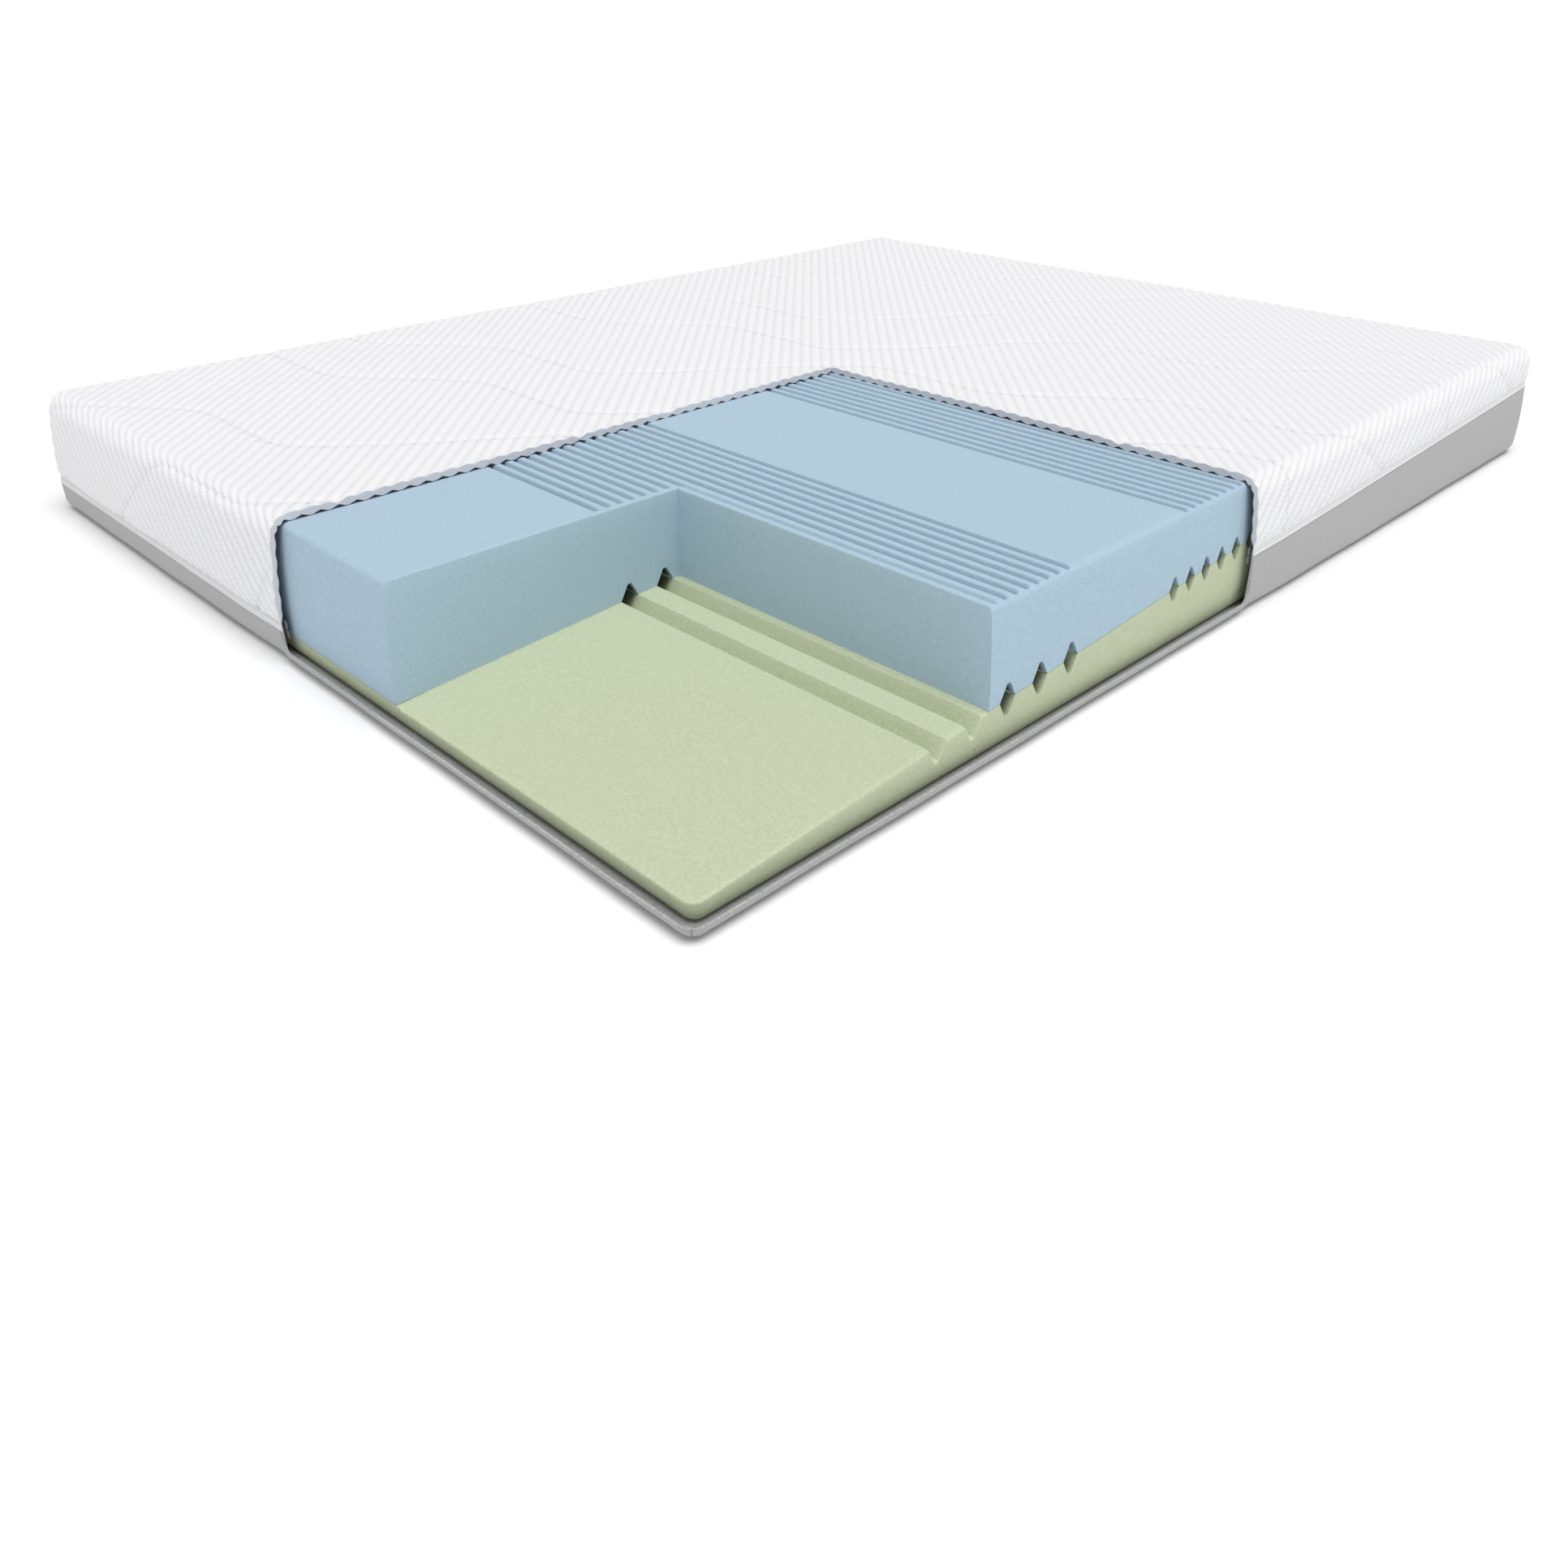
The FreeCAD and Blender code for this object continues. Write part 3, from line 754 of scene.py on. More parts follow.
def make_quilting_thread(materials):
    """The running stitches in the quilting lines."""
    pitch, length, radius, thread_depth = 0.0085, 0.0062, 0.00045, 0.0002
    starts, ends = [], []
    fine = np.linspace(-HALF_W - 0.14, HALF_W + 0.14, 6000)
    for shift_x, shift_y in wave_lines():
        x, y = fine, wave_height(fine - shift_x) + shift_y
        run = np.concatenate([[0], np.cumsum(np.hypot(np.diff(x), np.diff(y)))])
        at = np.arange(0, run[-1] - length, pitch)
        pairs = [np.column_stack([np.interp(s, run, x), np.interp(s, run, y)]) for s in (at, at + length)]
        folded = [flat_to_box(p) for p in pairs]
        kept = folded[0][1] & folded[1][1]
        for (box, _), pair, ends_of in zip(folded, pairs, (starts, ends)):
            sunk = np.where(box[kept, 2] > HEIGHT - EDGE_R / 2, 1.0, WAVE_SIDE_SHARE)
            depth = WAVE_DEPTH * sunk + KNIT_REST + lie(pair[kept]) + thread_depth
            ends_of.append(on_cover(box[kept], depth)[0])
    points, faces = capsules(np.vstack(starts), np.vstack(ends), radius)
    return add_mesh("quilting_thread", points, faces, [materials["thread"]], "top_cover")


# ---- bands that follow the zip line ----
def outline_run(step, start=None, end=None):
    """Places along the cover's plan outline, between two distances along it.

    The outline starts at the foot end's middle and goes round by the left side and the head end.
    """
    corners = [(0.0, -HALF_L), (-HALF_W, -HALF_L), (-HALF_W, HALF_L), (HALF_W, HALF_L)]
    corners += [(HALF_W, -HALF_L), (0.0, -HALF_L)]
    lengths = [math.dist(a, b) for a, b in zip(corners, corners[1:])]
    ends = np.concatenate([[0.0], np.cumsum(lengths)])
    start, end = ends[0] if start is None else start, ends[-1] if end is None else end
    marks = [start, end]
    for corner in ends:
        marks += [corner + k for k in np.linspace(-EDGE_R, EDGE_R, 19)]
    marks += list(np.arange(start, end, step))
    distances = np.unique(np.round([m for m in marks if start - 1e-9 <= m <= end + 1e-9], 5))
    places = np.array(corners)
    x, y = np.interp(distances, ends, places[:, 0]), np.interp(distances, ends, places[:, 1])
    return distances, np.column_stack([x, y])


OUTLINE = {
    "foot_middle": 0.0,
    "foot_left": HALF_W,
    "head_left": HALF_W + 2 * HALF_L,
    "head_right": 3 * HALF_W + 2 * HALF_L,
    "right_middle": 3 * HALF_W + 3 * HALF_L,
    "foot_right": 3 * HALF_W + 4 * HALF_L,
    "end": 4 * HALF_W + 4 * HALF_L,
}


def at_outline(places, z, depth):
    """Points beside outline places, at heights and at depths under the widest outline."""
    core = np.column_stack(
        [
            np.clip(places[:, 0], -HALF_W + EDGE_R, HALF_W - EDGE_R),
            np.clip(places[:, 1], -HALF_L + EDGE_R, HALF_L - EDGE_R),
        ]
    )
    out = places - core
    out /= np.linalg.norm(out, axis=1)[:, None]
    flat = core + out * (EDGE_R - depth)[:, None]
    return np.column_stack([flat, z]), out


def at_head(places):
    """1 along the head end, where the zip's slider runs, and 0 elsewhere."""
    return smooth((places[:, 1] - HALF_L + 0.05) / 0.04)


def band_recess(places):
    """The bands lie further in along the head end."""
    return RECESS + (HEAD_RECESS - RECESS) * at_head(places)


def seam_gap(places):
    """Half the gap between the two covers' edges: closed over the zip, open along the head end."""
    return 0.0002 + 0.0009 * at_head(places)


def near_cut_curl(distances):
    """The bands draw in with the cover at both ends of the cut."""
    from_foot = distances - OUTLINE["foot_middle"]
    from_right = OUTLINE["right_middle"] - distances
    nearest = np.minimum(np.abs(from_foot), np.abs(from_right))
    return CUT_CURL * np.exp(-((nearest / CUT_CURL_REACH) ** 2))


def swept_band(name, profile, material, body, step=0.012):
    """A closed band round the covered sides. profile gives (depth, height above the zip line) points."""
    distances, places = outline_run(step, OUTLINE["foot_middle"], OUTLINE["right_middle"])
    base = seam_z(places[:, 1])
    extra = band_recess(places) + near_cut_curl(distances)
    rings, flats = [], []
    run = 0.0
    previous = profile[-1]
    for depth, rise in profile:
        z = base + (np.maximum(rise, seam_gap(places)) if rise > 0 else np.minimum(rise, -seam_gap(places)))
        points, _ = at_outline(places, z, depth + extra + bulge(z))
        rings.append(points)
        run += math.dist(previous, (depth, rise))
        previous = (depth, rise)
        flats.append(np.column_stack([distances, np.full(len(distances), run)]))
    count, around = len(places), len(profile)
    points = np.stack(rings, axis=1).reshape(-1, 3)
    piece = add_mesh(name, points, ring_faces(count, around), [material], body)
    set_cloth_coordinates(piece, np.stack(flats, axis=1).reshape(-1, 2))
    sharpen(piece, 50)
    return piece


def stitch_row(name, rise, depth, pitch, length, radius, material):
    """A row of stitches along a band, at a height above the zip line."""
    end = OUTLINE["right_middle"]
    at = np.arange(0.002, end - length, pitch)
    distances, places = outline_run(0.01, 0.0, end)
    ends_of = []
    for s in (at, at + length):
        spots = np.column_stack([np.interp(s, distances, places[:, k]) for k in (0, 1)])
        z = seam_z(spots[:, 1]) + rise
        extra = band_recess(spots) + near_cut_curl(s)
        ends_of.append(at_outline(spots, z, depth + extra + bulge(z))[0])
    points, faces = capsules(*ends_of, radius)
    return add_mesh(name, points, faces, [material], "top_cover")


def make_placket(materials):
    """The plain band under the quilt: a turned hem with a soft bead, and a row of stitches."""
    profile = (
        (0.0030, 0.0002),
        (0.0010, 0.0002),
        (0.0001, 0.0014),
        (0.0000, 0.0026),
        (0.0004, 0.0038),
        (0.0011, 0.0044),
        (0.0010, 0.0056),
        (0.0007, 0.0078),
        (0.0009, 0.0094),
        (0.0016, 0.0104),
        (0.0012, 0.0114),
        (0.0016, 0.0124),
        (0.0030, 0.0128),
    )
    placket = swept_band("placket_band", profile, materials["placket"], "top_cover")
    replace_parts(placket, "placket")
    stitches = stitch_row(
        "placket_stitches", 0.0104, 0.0012, 0.0042, 0.0031, 0.0003, materials["thread"]
    )
    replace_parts(stitches, "placket_stitching")
    return placket


def helix_coil(name, rise, material, body, node):
    """The zip's nylon coil: one spring-like strand along the tape's edge."""
    pitch, loop, wire, per_turn, sides = 0.005, 0.0011, 0.00035, 6, 3
    end = OUTLINE["right_middle"] - 0.001
    distances, places = outline_run(0.01, 0.0, OUTLINE["right_middle"])
    s = np.arange(0.001, end, pitch / per_turn)
    spots = np.column_stack([np.interp(s, distances, places[:, k]) for k in (0, 1)])
    turn = 2 * math.pi * s / pitch
    z = seam_z(spots[:, 1]) + rise + loop * np.cos(turn)
    centre, _ = at_outline(spots, z, 0.0113 + loop * np.sin(turn))
    tangent = np.gradient(centre, axis=0)
    tangent /= np.linalg.norm(tangent, axis=1)[:, None]
    side, up = across(tangent, (0.2, 0.3, 0.93))
    angles = 2 * math.pi * np.arange(sides) / sides
    rings = [centre + wire * (side * math.cos(a) + up * math.sin(a)) for a in angles]
    points = np.stack(rings, axis=1).reshape(-1, 3)
    coil = add_mesh(name, points, ring_faces(len(s), sides), [material], body)
    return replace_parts(coil, node)


def make_zip(materials):
    """Both tapes and coils. The metal pieces stay as the CAD made them."""
    sides = (
        ("upper", "top_cover", 0.0014, 0.0115, 0.0025),
        ("lower", "bottom_cover", -0.0120, -0.0014, -0.0025),
    )
    for side, body, low, high, coil_rise in sides:
        inner, outer = 0.0093, 0.0086
        profile = ((inner, low), (outer, low), (outer, (low + high) / 2), (outer, high), (inner, high))
        tape = swept_band(f"{side}_tape", profile, materials["zip_tape"], body)
        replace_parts(tape, f"{side}_zip_tape")
        coil = f"{side}_zip_coil"
        helix_coil(f"{side}_coil_strand", coil_rise, materials["zip_coil"], body, coil)
    for node in ("zip_slider", "zip_pull", "pull_pin", "zip_insertion_pin", "zip_retainer_box"):
        paint_node(node, materials["zip_metal"])


def paint_node(node, material):
    """Gives a CAD node's object its finished material."""
    piece = next(o for o in bpy.data.objects if o.get("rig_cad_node") == node)
    for slot in piece.material_slots:
        slot.material = material


# ---- lower cover ----
def border_top(distances, places):
    """Height of the border's top edge: under the zip, and low round the cut-away quarter."""
    full = seam_z(places[:, 1]) - seam_gap(places)
    low_from = OUTLINE["right_middle"]
    low_to = OUTLINE["end"]
    into = np.minimum(distances - low_from, low_to - distances)
    curve = np.sqrt(np.clip(1 - np.clip(1 - into / LIP_FILLET, 0, 1) ** 2, 0, 1))
    low = LIP_Z + (1 - curve) * 2.2 * LIP_FILLET
    return np.where(into > 1e-6, np.minimum(low, full), full)


def border_section(top, base_depth):
    """Across one place of the border: depths and heights up the outer face and down the inner one."""
    outer, inner = [], []
    arc = math.pi / 2 * BORDER_R
    turned = BORDER_R * math.acos(max(0.0, 1 - top / BORDER_R)) if top < BORDER_R else arc
    rise = turned + np.linspace(0, 1, 8)[1:] * (top - BORDER_R)
    levels = np.concatenate([np.linspace(0, turned, 9), rise])
    if top < BORDER_R:
        levels = np.linspace(0, turned, 16)
    for s in levels:
        angle = min(s / BORDER_R, math.pi / 2)
        rise = max(0.0, s - arc)
        for faces, radius in ((outer, BORDER_R), (inner, BORDER_R - BORDER_T)):
            z = BORDER_R - radius * math.cos(angle) + rise
            faces.append((base_depth + BORDER_R - radius * math.sin(angle), z))
    return outer + inner[::-1]


def strip_places(start, end):
    """Places along one strip, closer together beside its seams and where its top edge is cut down."""
    distances, places = outline_run(0.012, start, end)
    near = np.array([0.0005, 0.0015, 0.003])
    cuts = np.arange(10) * LIP_FILLET / 8
    extra = [start + near, end - near, OUTLINE["right_middle"] + cuts, OUTLINE["end"] - cuts]
    extra.append(np.array([OUTLINE["right_middle"] + 0.00002]))
    marks = np.unique(np.concatenate([distances, *extra]))
    marks = marks[(marks >= start) & (marks <= end)]
    x, y = [np.interp(marks, distances, places[:, k]) for k in (0, 1)]
    return marks, np.column_stack([x, y])


def border_base(distances, places):
    """How far the border's face lies under the envelope, with dents at its corner seams."""
    corners = [OUTLINE[c] for c in ("foot_left", "head_left", "head_right", "foot_right")]
    dents = sum(np.exp(-(((distances - corner) / 0.0035) ** 2)) for corner in corners)
    slack = 0.0006 * (1 + np.sin(distances * 21.0) * np.sin(distances * 8.7 + 1.1))
    covered = np.where(distances <= OUTLINE["right_middle"], near_cut_curl(distances), 0.0)
    return band_recess(places) + 0.0014 * dents + slack + covered


def ring_faces(count, around):
    """Faces of a tube of rings, closed at both ends."""
    faces = []
    for k in range(count - 1):
        for p in range(around):
            q = (p + 1) % around
            a, b = k * around, (k + 1) * around
            faces.append([a + p, b + p, b + q, a + q])
    faces.append(list(range(around))[::-1])
    faces.append([(count - 1) * around + p for p in range(around)])
    return faces


def border_strip(start, end):
    """One stretch of border, turned up from the bottom panel: points, faces, flat places, flat sizes."""
    distances, places = strip_places(start, end)
    tops, base = border_top(distances, places), border_base(distances, places)
    rings, flats = [], []
    for k, top in enumerate(tops):
        section = np.array(border_section(float(top), float(base[k])))
        beside = np.repeat(places[k : k + 1], len(section), axis=0)
        ring, _ = at_outline(beside, section[:, 1], section[:, 0] + bulge(section[:, 1]))
        rings.append(ring)
        flats.append(np.column_stack([np.full(len(section), distances[k]), section[:, 1]]))
    faces = ring_faces(len(rings), len(rings[0]))
    heights = (tops[1:] + tops[:-1]) / 2 + 0.012
    area = float((heights * np.diff(distances)).sum())
    sizes = (float(tops.max()) + 0.012, float(distances[-1] - distances[0]), area)
    return np.vstack(rings), faces, np.vstack(flats), sizes


BORDER_SPANS = {
    "border_left": (("foot_left", "head_left"),),
    "border_head": (("head_left", "head_right"),),
    "border_right": (("head_right", "foot_right"),),
    "border_foot": (("foot_right", "end"), ("foot_middle", "foot_left")),
}


def make_lower_cover(materials):
    """The four grey strips, each ending at a corner seam, and the sheet they are sewn to."""
    for node, spans in BORDER_SPANS.items():
        parts = [border_strip(OUTLINE[start], OUTLINE[end]) for start, end in spans]
        points, faces = joined([part[:2] for part in parts])
        fabric = [materials["border_fabric"]]
        strip = add_mesh(f"{node}_strip", points, faces, fabric, "bottom_cover")
        set_cloth_coordinates(strip, np.vstack([part[2] for part in parts]))
        sharpen(strip, 50)
        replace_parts(strip, node)
    make_bottom_panel(materials)


def rounded_plan(half_x, half_y, radius, lines_x, lines_y):
    """A grid over a rectangle whose corners are bent round, as rows of (x, y) and each one's inset."""
    x, y = np.meshgrid(lines_x, lines_y, indexing="ij")
    u = np.abs(x) - (half_x - radius)
    v = np.abs(y) - (half_y - radius)
    corner = (u > 0) & (v > 0)
    reach = np.maximum(u, v)
    spread = np.where(corner, np.hypot(u, v), 1.0)
    x = np.where(corner, np.sign(x) * (half_x - radius + reach * u / spread), x)
    y = np.where(corner, np.sign(y) * (half_y - radius + reach * v / spread), y)
    return x, y, radius - reach


def make_bottom_panel(materials):
    """The flat sheet that the border strips are sewn to."""
    edge = BORDER_R + RECESS + BULGE_LOW
    half_x, half_y = HALF_W - edge + 0.0004, HALF_L - edge + 0.0004
    lines = []
    for half in (half_x, half_y):
        steps = np.linspace(-half + 0.012, half - 0.012, int(half * 30))
        rim = half - 0.012 + np.linspace(0.0, 0.012, 5)[1:]
        lines.append(np.concatenate([-rim[::-1], steps, rim]))
    x, y, _ = rounded_plan(half_x, half_y, 0.012, *lines)
    ripple = 0.0003 * np.sin(40 * x + 3 * y) * np.sin(31 * y)
    low = np.stack([x, y, 0.0004 + np.abs(ripple)], axis=-1)
    high = np.stack([x, y, 0.0028 + ripple], axis=-1)
    points, faces = closed_sheet(low, high)
    grey = [materials["border_fabric"]]
    panel = add_mesh("bottom_sheet", points, faces, grey, "bottom_cover")
    set_cloth_coordinates(panel, points[:, :2])
    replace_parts(panel, "bottom_panel")
    return panel


def closed_sheet(low, high):
    """Points and faces of the closed solid between two grids of the same shape."""
    rows, columns = low.shape[:2]
    points = np.vstack([low.reshape(-1, 3), high.reshape(-1, 3)])
    index = np.arange(rows * columns).reshape(rows, columns)
    above = index + rows * columns
    faces = []
    for i in range(rows - 1):
        for j in range(columns - 1):
            a, b, c, d = index[i, j], index[i + 1, j], index[i + 1, j + 1], index[i, j + 1]
            faces.append([int(v) for v in (a, d, c, b)])
            a, b, c, d = above[i, j], above[i + 1, j], above[i + 1, j + 1], above[i, j + 1]
            faces.append([int(v) for v in (a, b, c, d)])
    loop = list(index[:, 0]) + list(index[-1, 1:]) + list(index[-2::-1, -1]) + list(index[0, -2:0:-1])
    for a, b in zip(loop, loop[1:] + loop[:1]):
        faces.append([int(a), int(b), int(b) + rows * columns, int(a) + rows * columns])
    return points, faces


# ---- foam ----
def zone_places(zones, pitch=None):
    """The middles of a row of grooves or ducts in each zone, and the size of that zone's ducts."""
    for zone in zones:
        middle, count = zone[:2]
        step, size = (pitch, 1.0) if pitch else zone[2:]
        for k in range(count):
            yield middle + (k - (count - 1) / 2) * step, size


def groove_depth(y):
    """Contour grooves: narrow troughs with rounded ridges between them."""
    depth = np.zeros_like(y)
    for middle, _ in zone_places(GROOVE_ZONES, GROOVE_PITCH):
        t = np.clip(np.abs(y - middle) / GROOVE_HALF, 0, 1)
        depth = np.maximum(depth, GROOVE_DEPTH * np.cos(t * math.pi / 2) ** 1.1)
    return depth


def duct_height(y):
    """Half the height of the ventilation ducts over or under the foams' meeting face."""
    height = np.zeros_like(y)
    for middle, size in zone_places(DUCT_ZONES):
        away = np.abs(y - middle) / size
        slope = (DUCT_HALF_W - away) / (DUCT_HALF_W - DUCT_APEX)
        height = np.maximum(height, size * DUCT_HALF_H * np.clip(slope, 0, 1))
    return height


def foam_lines_y():
    """Grid lines across the length: close over each groove, at each duct's corners and at the ends."""
    lines = [-FOAM_Y, FOAM_Y, NOTCH_Y]
    for t in (0.0, 0.02, 0.08, 0.18, 0.32, 0.5, 0.72, 1.0):
        lines += [sign * (FOAM_Y - t * FOAM_CORNER_R) for sign in (-1, 1)]
        lines.append(NOTCH_Y + t * 0.005)
    for middle, _ in zone_places(GROOVE_ZONES, GROOVE_PITCH):
        lines += [middle + GROOVE_HALF * t for t in (-1, -0.75, -0.5, -0.25, 0, 0.25, 0.5, 0.75, 1)]
    for middle, size in zone_places(DUCT_ZONES):
        for t in (size * DUCT_HALF_W, size * DUCT_APEX):
            lines += [middle - t, middle + t]
    lines += list(np.arange(-0.95, 0.96, 0.02))
    lines = np.unique(np.round(lines, 6))
    keep = np.concatenate([[True], np.diff(lines) > 0.00008])
    return lines[keep]


def foam_lines_x():
    lines = [NOTCH_X]
    for t in (0.0, 0.02, 0.08, 0.18, 0.32, 0.5, 0.72, 1.0):
        lines += [sign * (FOAM_X - t * FOAM_CORNER_R) for sign in (-1, 1)]
        lines += [NOTCH_X - t * 0.005, NOTCH_X - 0.005 - t * 0.011]
    lines += list(np.arange(-0.74, 0.75, 0.04))
    return np.unique(np.round(lines, 6))


def rounded_drop(inset, radius):
    """How far an edge rounded to a radius drops, at an inset from the side."""
    reach = np.clip(radius - inset, 0, radius)
    return radius - np.sqrt(np.clip(radius**2 - reach**2, 0, None))


def plan_inset(x, y, bent):
    """Distance from the nearest outer side, on the bent plan grid."""
    straight = np.minimum(FOAM_X - np.abs(x), FOAM_Y - np.abs(y))
    corner = (np.abs(x) > FOAM_X - FOAM_CORNER_R) & (np.abs(y) > FOAM_Y - FOAM_CORNER_R)
    return np.where(corner, bent, straight)


def notch_inset(x, y):
    """Distance from the walls of the notch, for places outside it."""
    dx, dy = np.clip(NOTCH_X - x, 0, None), np.clip(y - NOTCH_Y, 0, None)
    return np.hypot(dx, dy)


def two_face_solid(low, high, keep, wall_rows):
    """A closed solid between two height grids over the kept cells, with walls in several rows.

    Each point may carry more numbers after its x, y and z.
    """
    rows, columns = low.shape[:2]
    points = [low.reshape(rows * columns, -1), high.reshape(rows * columns, -1)]
    count = rows * columns
    index = np.arange(count).reshape(rows, columns)
    faces = []
    for i in range(rows - 1):
        for j in range(columns - 1):
            if keep[i, j]:
                a, b, c, d = [int(index[p]) for p in ((i, j), (i + 1, j), (i + 1, j + 1), (i, j + 1))]
                faces.append([a, d, c, b])
                faces.append([count + a, count + b, count + c, count + d])
    edges = wall_edges(keep, index)
    used = sorted({v for edge in edges for v in edge})
    place = {v: k for k, v in enumerate(used)}
    flat_low, flat_high = points[0][used], points[1][used]
    base = 2 * count
    for k in range(1, wall_rows):
        t = k / wall_rows
        points.append(flat_low * (1 - t) + flat_high * t)
    for a, b in edges:
        column_a = [a] + [base + r * len(used) + place[a] for r in range(wall_rows - 1)] + [count + a]
        column_b = [b] + [base + r * len(used) + place[b] for r in range(wall_rows - 1)] + [count + b]
        for r in range(wall_rows):
            faces.append([column_a[r], column_b[r], column_b[r + 1], column_a[r + 1]])
    return np.vstack(points), faces


def wall_edges(keep, index):
    """Directed grid edges with a kept cell on one side only."""
    rows, columns = keep.shape
    padded = np.zeros((rows + 2, columns + 2), bool)
    padded[1:-1, 1:-1] = keep
    edges = []
    for i in range(rows):
        for j in range(columns):
            if not keep[i, j]:
                continue
            a, b, c, d = [int(index[p]) for p in ((i, j), (i + 1, j), (i + 1, j + 1), (i, j + 1))]
            if not padded[i + 1, j]:
                edges.append((a, b))
            if not padded[i + 2, j + 1]:
                edges.append((b, c))
            if not padded[i + 1, j + 2]:
                edges.append((c, d))
            if not padded[i, j + 1]:
                edges.append((d, a))
    return edges


def drop_loose(points, faces):
    """Leaves out points that no face uses."""
    used = np.unique(np.concatenate([np.array(face) for face in faces]))
    new = np.full(len(points), -1)
    new[used] = np.arange(len(used))
    return points[used], [[int(new[v]) for v in face] for face in faces]


def side_lean(points):
    """The foam's sides lean in towards the floor with the cover's own bulge."""
    lean = 0.8 * bulge(points[:, 2])
    for axis, half in ((0, FOAM_X), (1, FOAM_Y)):
        near = smooth((np.abs(points[:, axis]) - half + 0.06) / 0.05)
        points[:, axis] -= np.sign(points[:, axis]) * lean * near
    return points


def make_foam(materials):
    lines_x, lines_y = foam_lines_x(), foam_lines_y()
    x, y, bent = rounded_plan(FOAM_X, FOAM_Y, FOAM_CORNER_R, lines_x, lines_y)
    flat_y = np.broadcast_to(lines_y[None, :], x.shape)
    inset = plan_inset(x, y, bent)
    middle_x = (lines_x[1:] + lines_x[:-1])[:, None] / 2
    middle_y = (lines_y[1:] + lines_y[:-1])[None, :] / 2
    whole = np.ones((len(lines_x) - 1, len(lines_y) - 1), bool)
    notched = whole & ~((middle_x > NOTCH_X) & (middle_y < NOTCH_Y))

    edge_drop = np.maximum(rounded_drop(inset, FOAM_TOP_R), rounded_drop(notch_inset(x, y), 0.0025))
    open_edge = np.minimum(inset, notch_inset(x, y))
    at_sides = smooth((inset - GROOVE_SIDE_MARGIN) / GROOVE_SIDE_FADE)
    at_notch = smooth((notch_inset(x, y) - GROOVE_NOTCH_MARGIN) / GROOVE_NOTCH_FADE)
    grooves = groove_depth(flat_y) * np.minimum(at_sides, at_notch)
    top = FOAM_TOP - np.maximum(edge_drop, grooves)
    bottom = interface_z(flat_y) + FILM_T / 2 + duct_height(flat_y)
    # Painted shade amounts: ducts go dark from a little inside their mouths, grooves darken with depth.
    duct_painted_shade = (duct_height(flat_y) > 1e-5) * smooth(open_edge / DUCT_SHADE_FADE)
    groove_painted_shade = 0.45 * (grooves / GROOVE_DEPTH) ** 1.5
    points, faces = two_face_solid(
        np.stack([x, y, bottom, duct_painted_shade], -1), np.stack([x, y, top, groove_painted_shade], -1), notched, 6
    )
    add_foam("memory_foam_layer", points, faces, materials, "memory_foam")

    low = 0.0032 + rounded_drop(inset, FOAM_BOTTOM_R)
    high = interface_z(flat_y) - FILM_T / 2 - duct_height(flat_y)
    rim = inset < 1e-6
    high = np.where(rim, np.maximum(high, low + 0.002), high)
    high = high - 0.5 * rounded_drop(inset, 0.006) * (~notched_at(x, y))
    # Painted shade in the lower foam's ducts, only where the upper foam lies over them.
    covered = 0.75 * duct_painted_shade * notched_at(x, y)
    none = np.zeros_like(x)
    points, faces = two_face_solid(
        np.stack([x, y, low, none], -1), np.stack([x, y, high, covered], -1), whole, 4
    )
    add_foam("support_foam_layer", points, faces, materials, "support_foam")
    make_adhesive(materials)


def notched_at(x, y):
    """Where the upper foam covers the lower one."""
    return ~((x > NOTCH_X) & (y < NOTCH_Y))


def add_foam(name, points, faces, materials, node):
    points, faces = drop_loose(points, faces)
    foam = add_mesh(name, side_lean(points[:, :3]), faces, [materials[node]], "core")
    # The cavity attribute holds the painted shade amount for grooves and ducts.
    painted_cavity_shade = foam.data.attributes.new("painted_cavity_shade", "FLOAT", "POINT")
    painted_cavity_shade.data.foreach_set("value", points[:, 3])
    sharpen(foam, 38)
    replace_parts(foam, node)
    return foam


def make_adhesive(materials):
    """The glue film between the foams, in strips between the ducts."""
    edges = [-FOAM_Y + 0.008]
    for middle, size in zone_places(DUCT_ZONES):
        edges += [middle - size * DUCT_HALF_W, middle + size * DUCT_HALF_W]
    edges.append(FOAM_Y - 0.008)
    parts = []
    for start, end in zip(edges[::2], edges[1::2]):
        spans = [(start, end)]
        if start < NOTCH_Y < end:
            spans = [(start, NOTCH_Y), (NOTCH_Y, end)]
        for near, far in spans:
            right = NOTCH_X if far <= NOTCH_Y else FOAM_X - 0.008
            xs = np.linspace(-FOAM_X + 0.008, right, 24)
            ys = np.linspace(near, far, 4)
            x, y = np.meshgrid(xs, ys, indexing="ij")
            z = interface_z(y)
            low = np.stack([x, y, z - 0.45 * FILM_T], -1)
            high = np.stack([x, y, z + 0.45 * FILM_T], -1)
            parts.append(closed_sheet(low, high))
    points, faces = joined(parts)
    film = add_mesh("adhesive_layer", points, faces, [materials["adhesive"]], "core")
    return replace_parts(film, "adhesive_film")


# ---- room, light and camera ----
WORLD_LOW, WORLD_HIGH = 1.0, 0.42
KEY_STRENGTH, KEY_ANGLE, KEY_DIRECTION = 2.1, 40.0, (-0.28, 0.10, -1.0)


def make_floor():
    bpy.ops.mesh.primitive_plane_add(size=160.0, location=(0.0, 0.0, -0.0005))
    floor = bpy.context.object
    floor.name = "floor"
    n = Nodes("floor", 0.7, Specular_IOR_Level=0.1)
    grain = n.noise(n.place(), 3.0, 2.0)
    floor.data.materials.append(n.finish(n.mix(grain, (0.96, 0.96, 0.96), (0.975, 0.975, 0.975))))


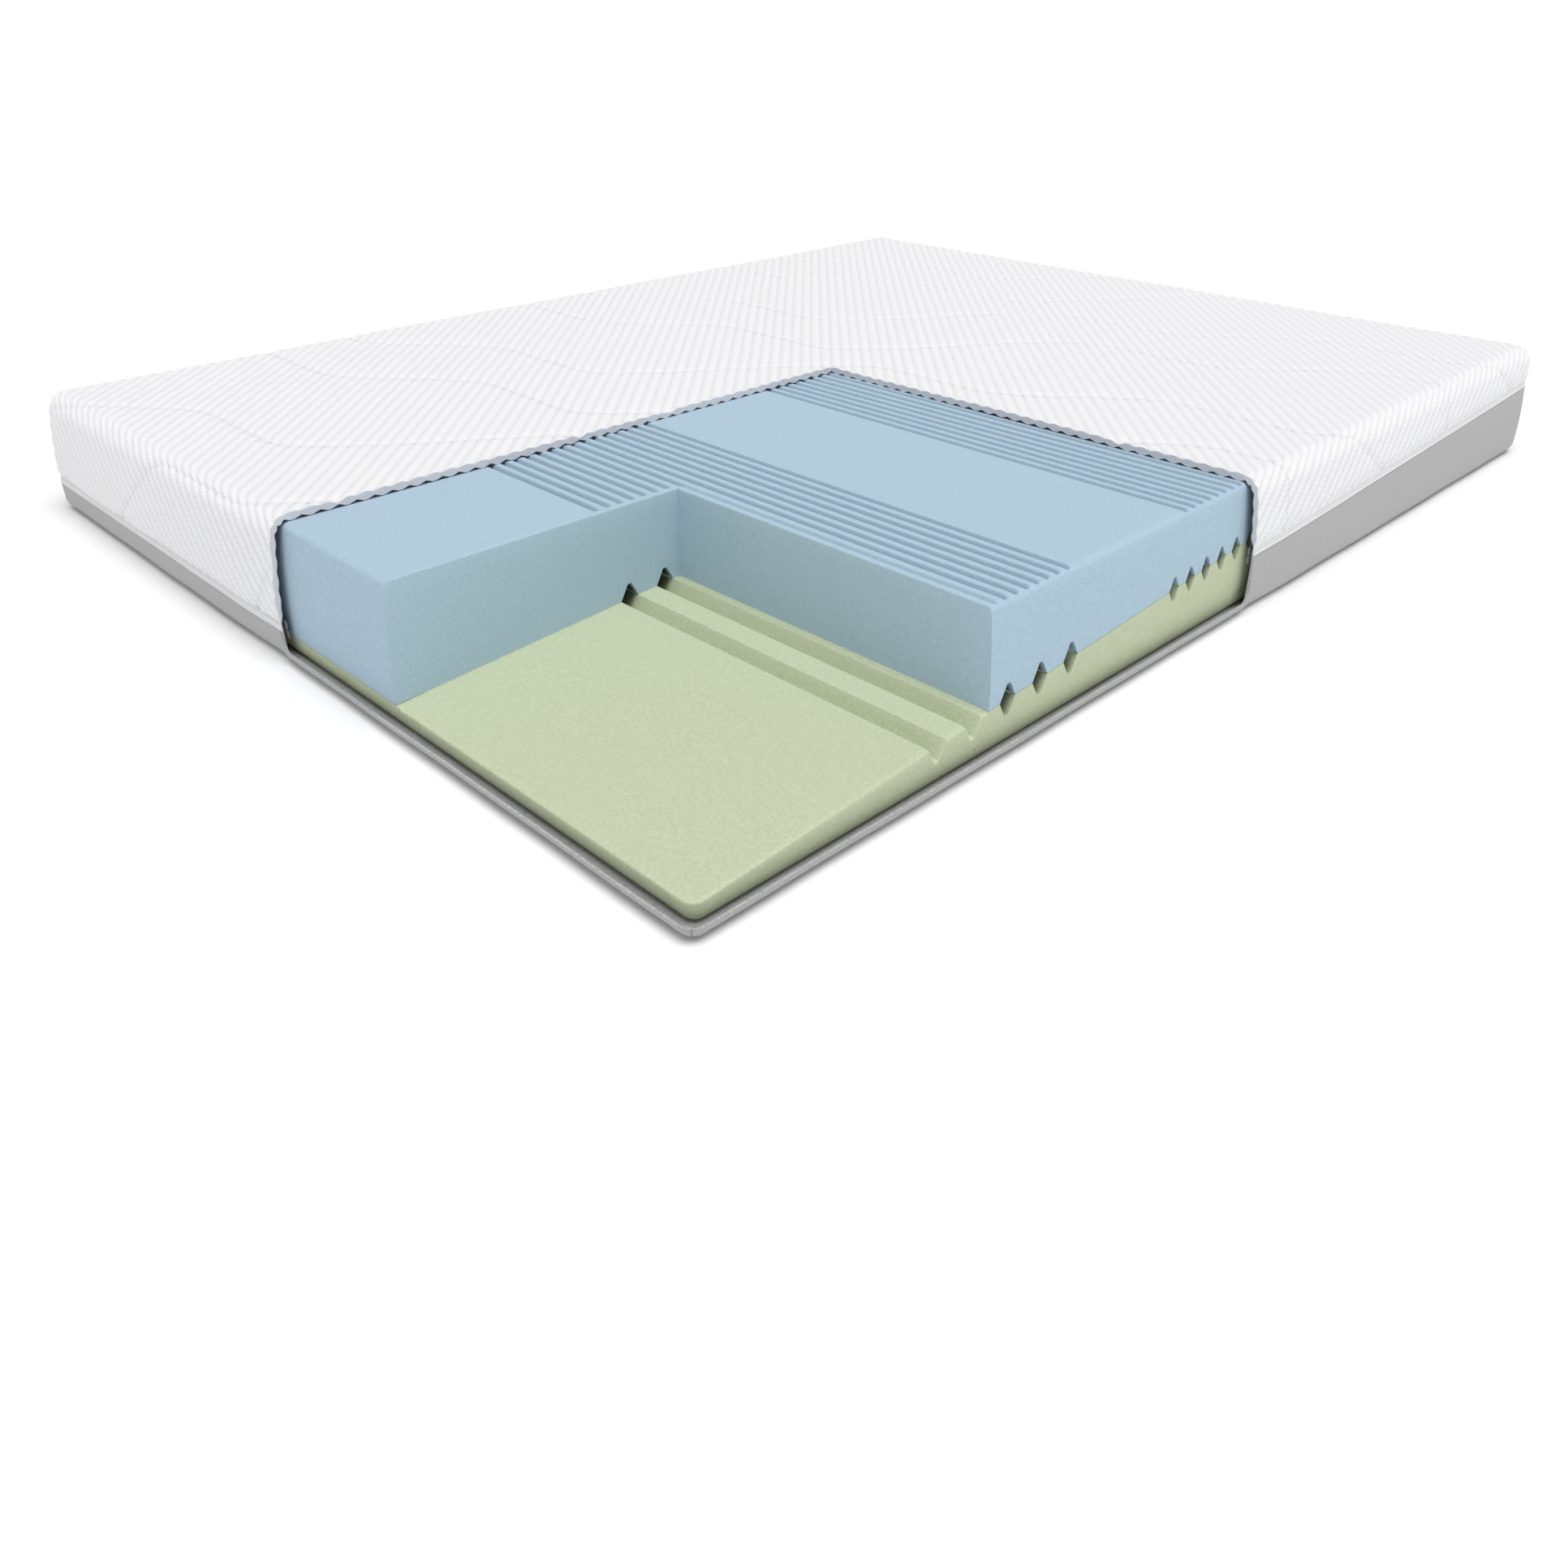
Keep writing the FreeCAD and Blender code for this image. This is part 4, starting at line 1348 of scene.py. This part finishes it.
def make_world():
    """A white studio: brightest low down, softer overhead."""
    world = bpy.data.worlds.new("studio")
    world.use_nodes = True
    tree = world.node_tree
    tree.nodes["Background"].inputs["Color"].default_value = (1.0, 1.0, 1.0, 1.0)
    place = tree.nodes.new("ShaderNodeTexCoord")
    split = tree.nodes.new("ShaderNodeSeparateXYZ")
    fade = tree.nodes.new("ShaderNodeMapRange")
    fade.inputs["From Min"].default_value, fade.inputs["From Max"].default_value = 0.10, 0.32
    fade.inputs["To Min"].default_value, fade.inputs["To Max"].default_value = WORLD_LOW, WORLD_HIGH
    tree.links.new(place.outputs["Generated"], split.inputs[0])
    tree.links.new(split.outputs["Z"], fade.inputs["Value"])
    tree.links.new(fade.outputs["Result"], tree.nodes["Background"].inputs["Strength"])
    bpy.context.scene.world = world


def make_light():
    make_world()
    data = bpy.data.lights.new("soft_key", "SUN")
    data.energy, data.angle = KEY_STRENGTH, math.radians(KEY_ANGLE)
    lamp = bpy.data.objects.new("soft_key", data)
    lamp.rotation_mode = "QUATERNION"
    lamp.rotation_quaternion = Vector(KEY_DIRECTION).to_track_quat("-Z", "Y")
    bpy.context.scene.collection.objects.link(lamp)
    bpy.context.scene.view_settings.view_transform = "Standard"


CAMERA_PLACE = (1.6493, -1.6952, 0.8478)
CAMERA_YAW, CAMERA_PITCH = 44.8, 15.3
CAMERA_LENS, CAMERA_SHIFT = 33.10, (-0.0212, -0.2671)


def make_camera():
    data = bpy.data.cameras.new("camera")
    data.sensor_width = 36.0
    data.lens = CAMERA_LENS
    data.shift_x, data.shift_y = CAMERA_SHIFT
    data.clip_start, data.clip_end = 0.05, 50.0
    camera = bpy.data.objects.new("camera", data)
    yaw, pitch = math.radians(CAMERA_YAW), math.radians(CAMERA_PITCH)
    back = Vector(
        (math.sin(yaw) * math.cos(pitch), -math.cos(yaw) * math.cos(pitch), math.sin(pitch))
    )
    camera.location = CAMERA_PLACE
    camera.rotation_mode = "QUATERNION"
    camera.rotation_quaternion = (-back).to_track_quat("-Z", "Y")
    bpy.context.scene.collection.objects.link(camera)
    bpy.context.scene.camera = camera


def main():
    make_camera()
    make_light()
    make_floor()
    materials = make_materials()
    make_foam(materials)
    make_lower_cover(materials)
    make_placket(materials)
    make_zip(materials)
    make_upper_cover(materials)
    make_quilting_thread(materials)


main()
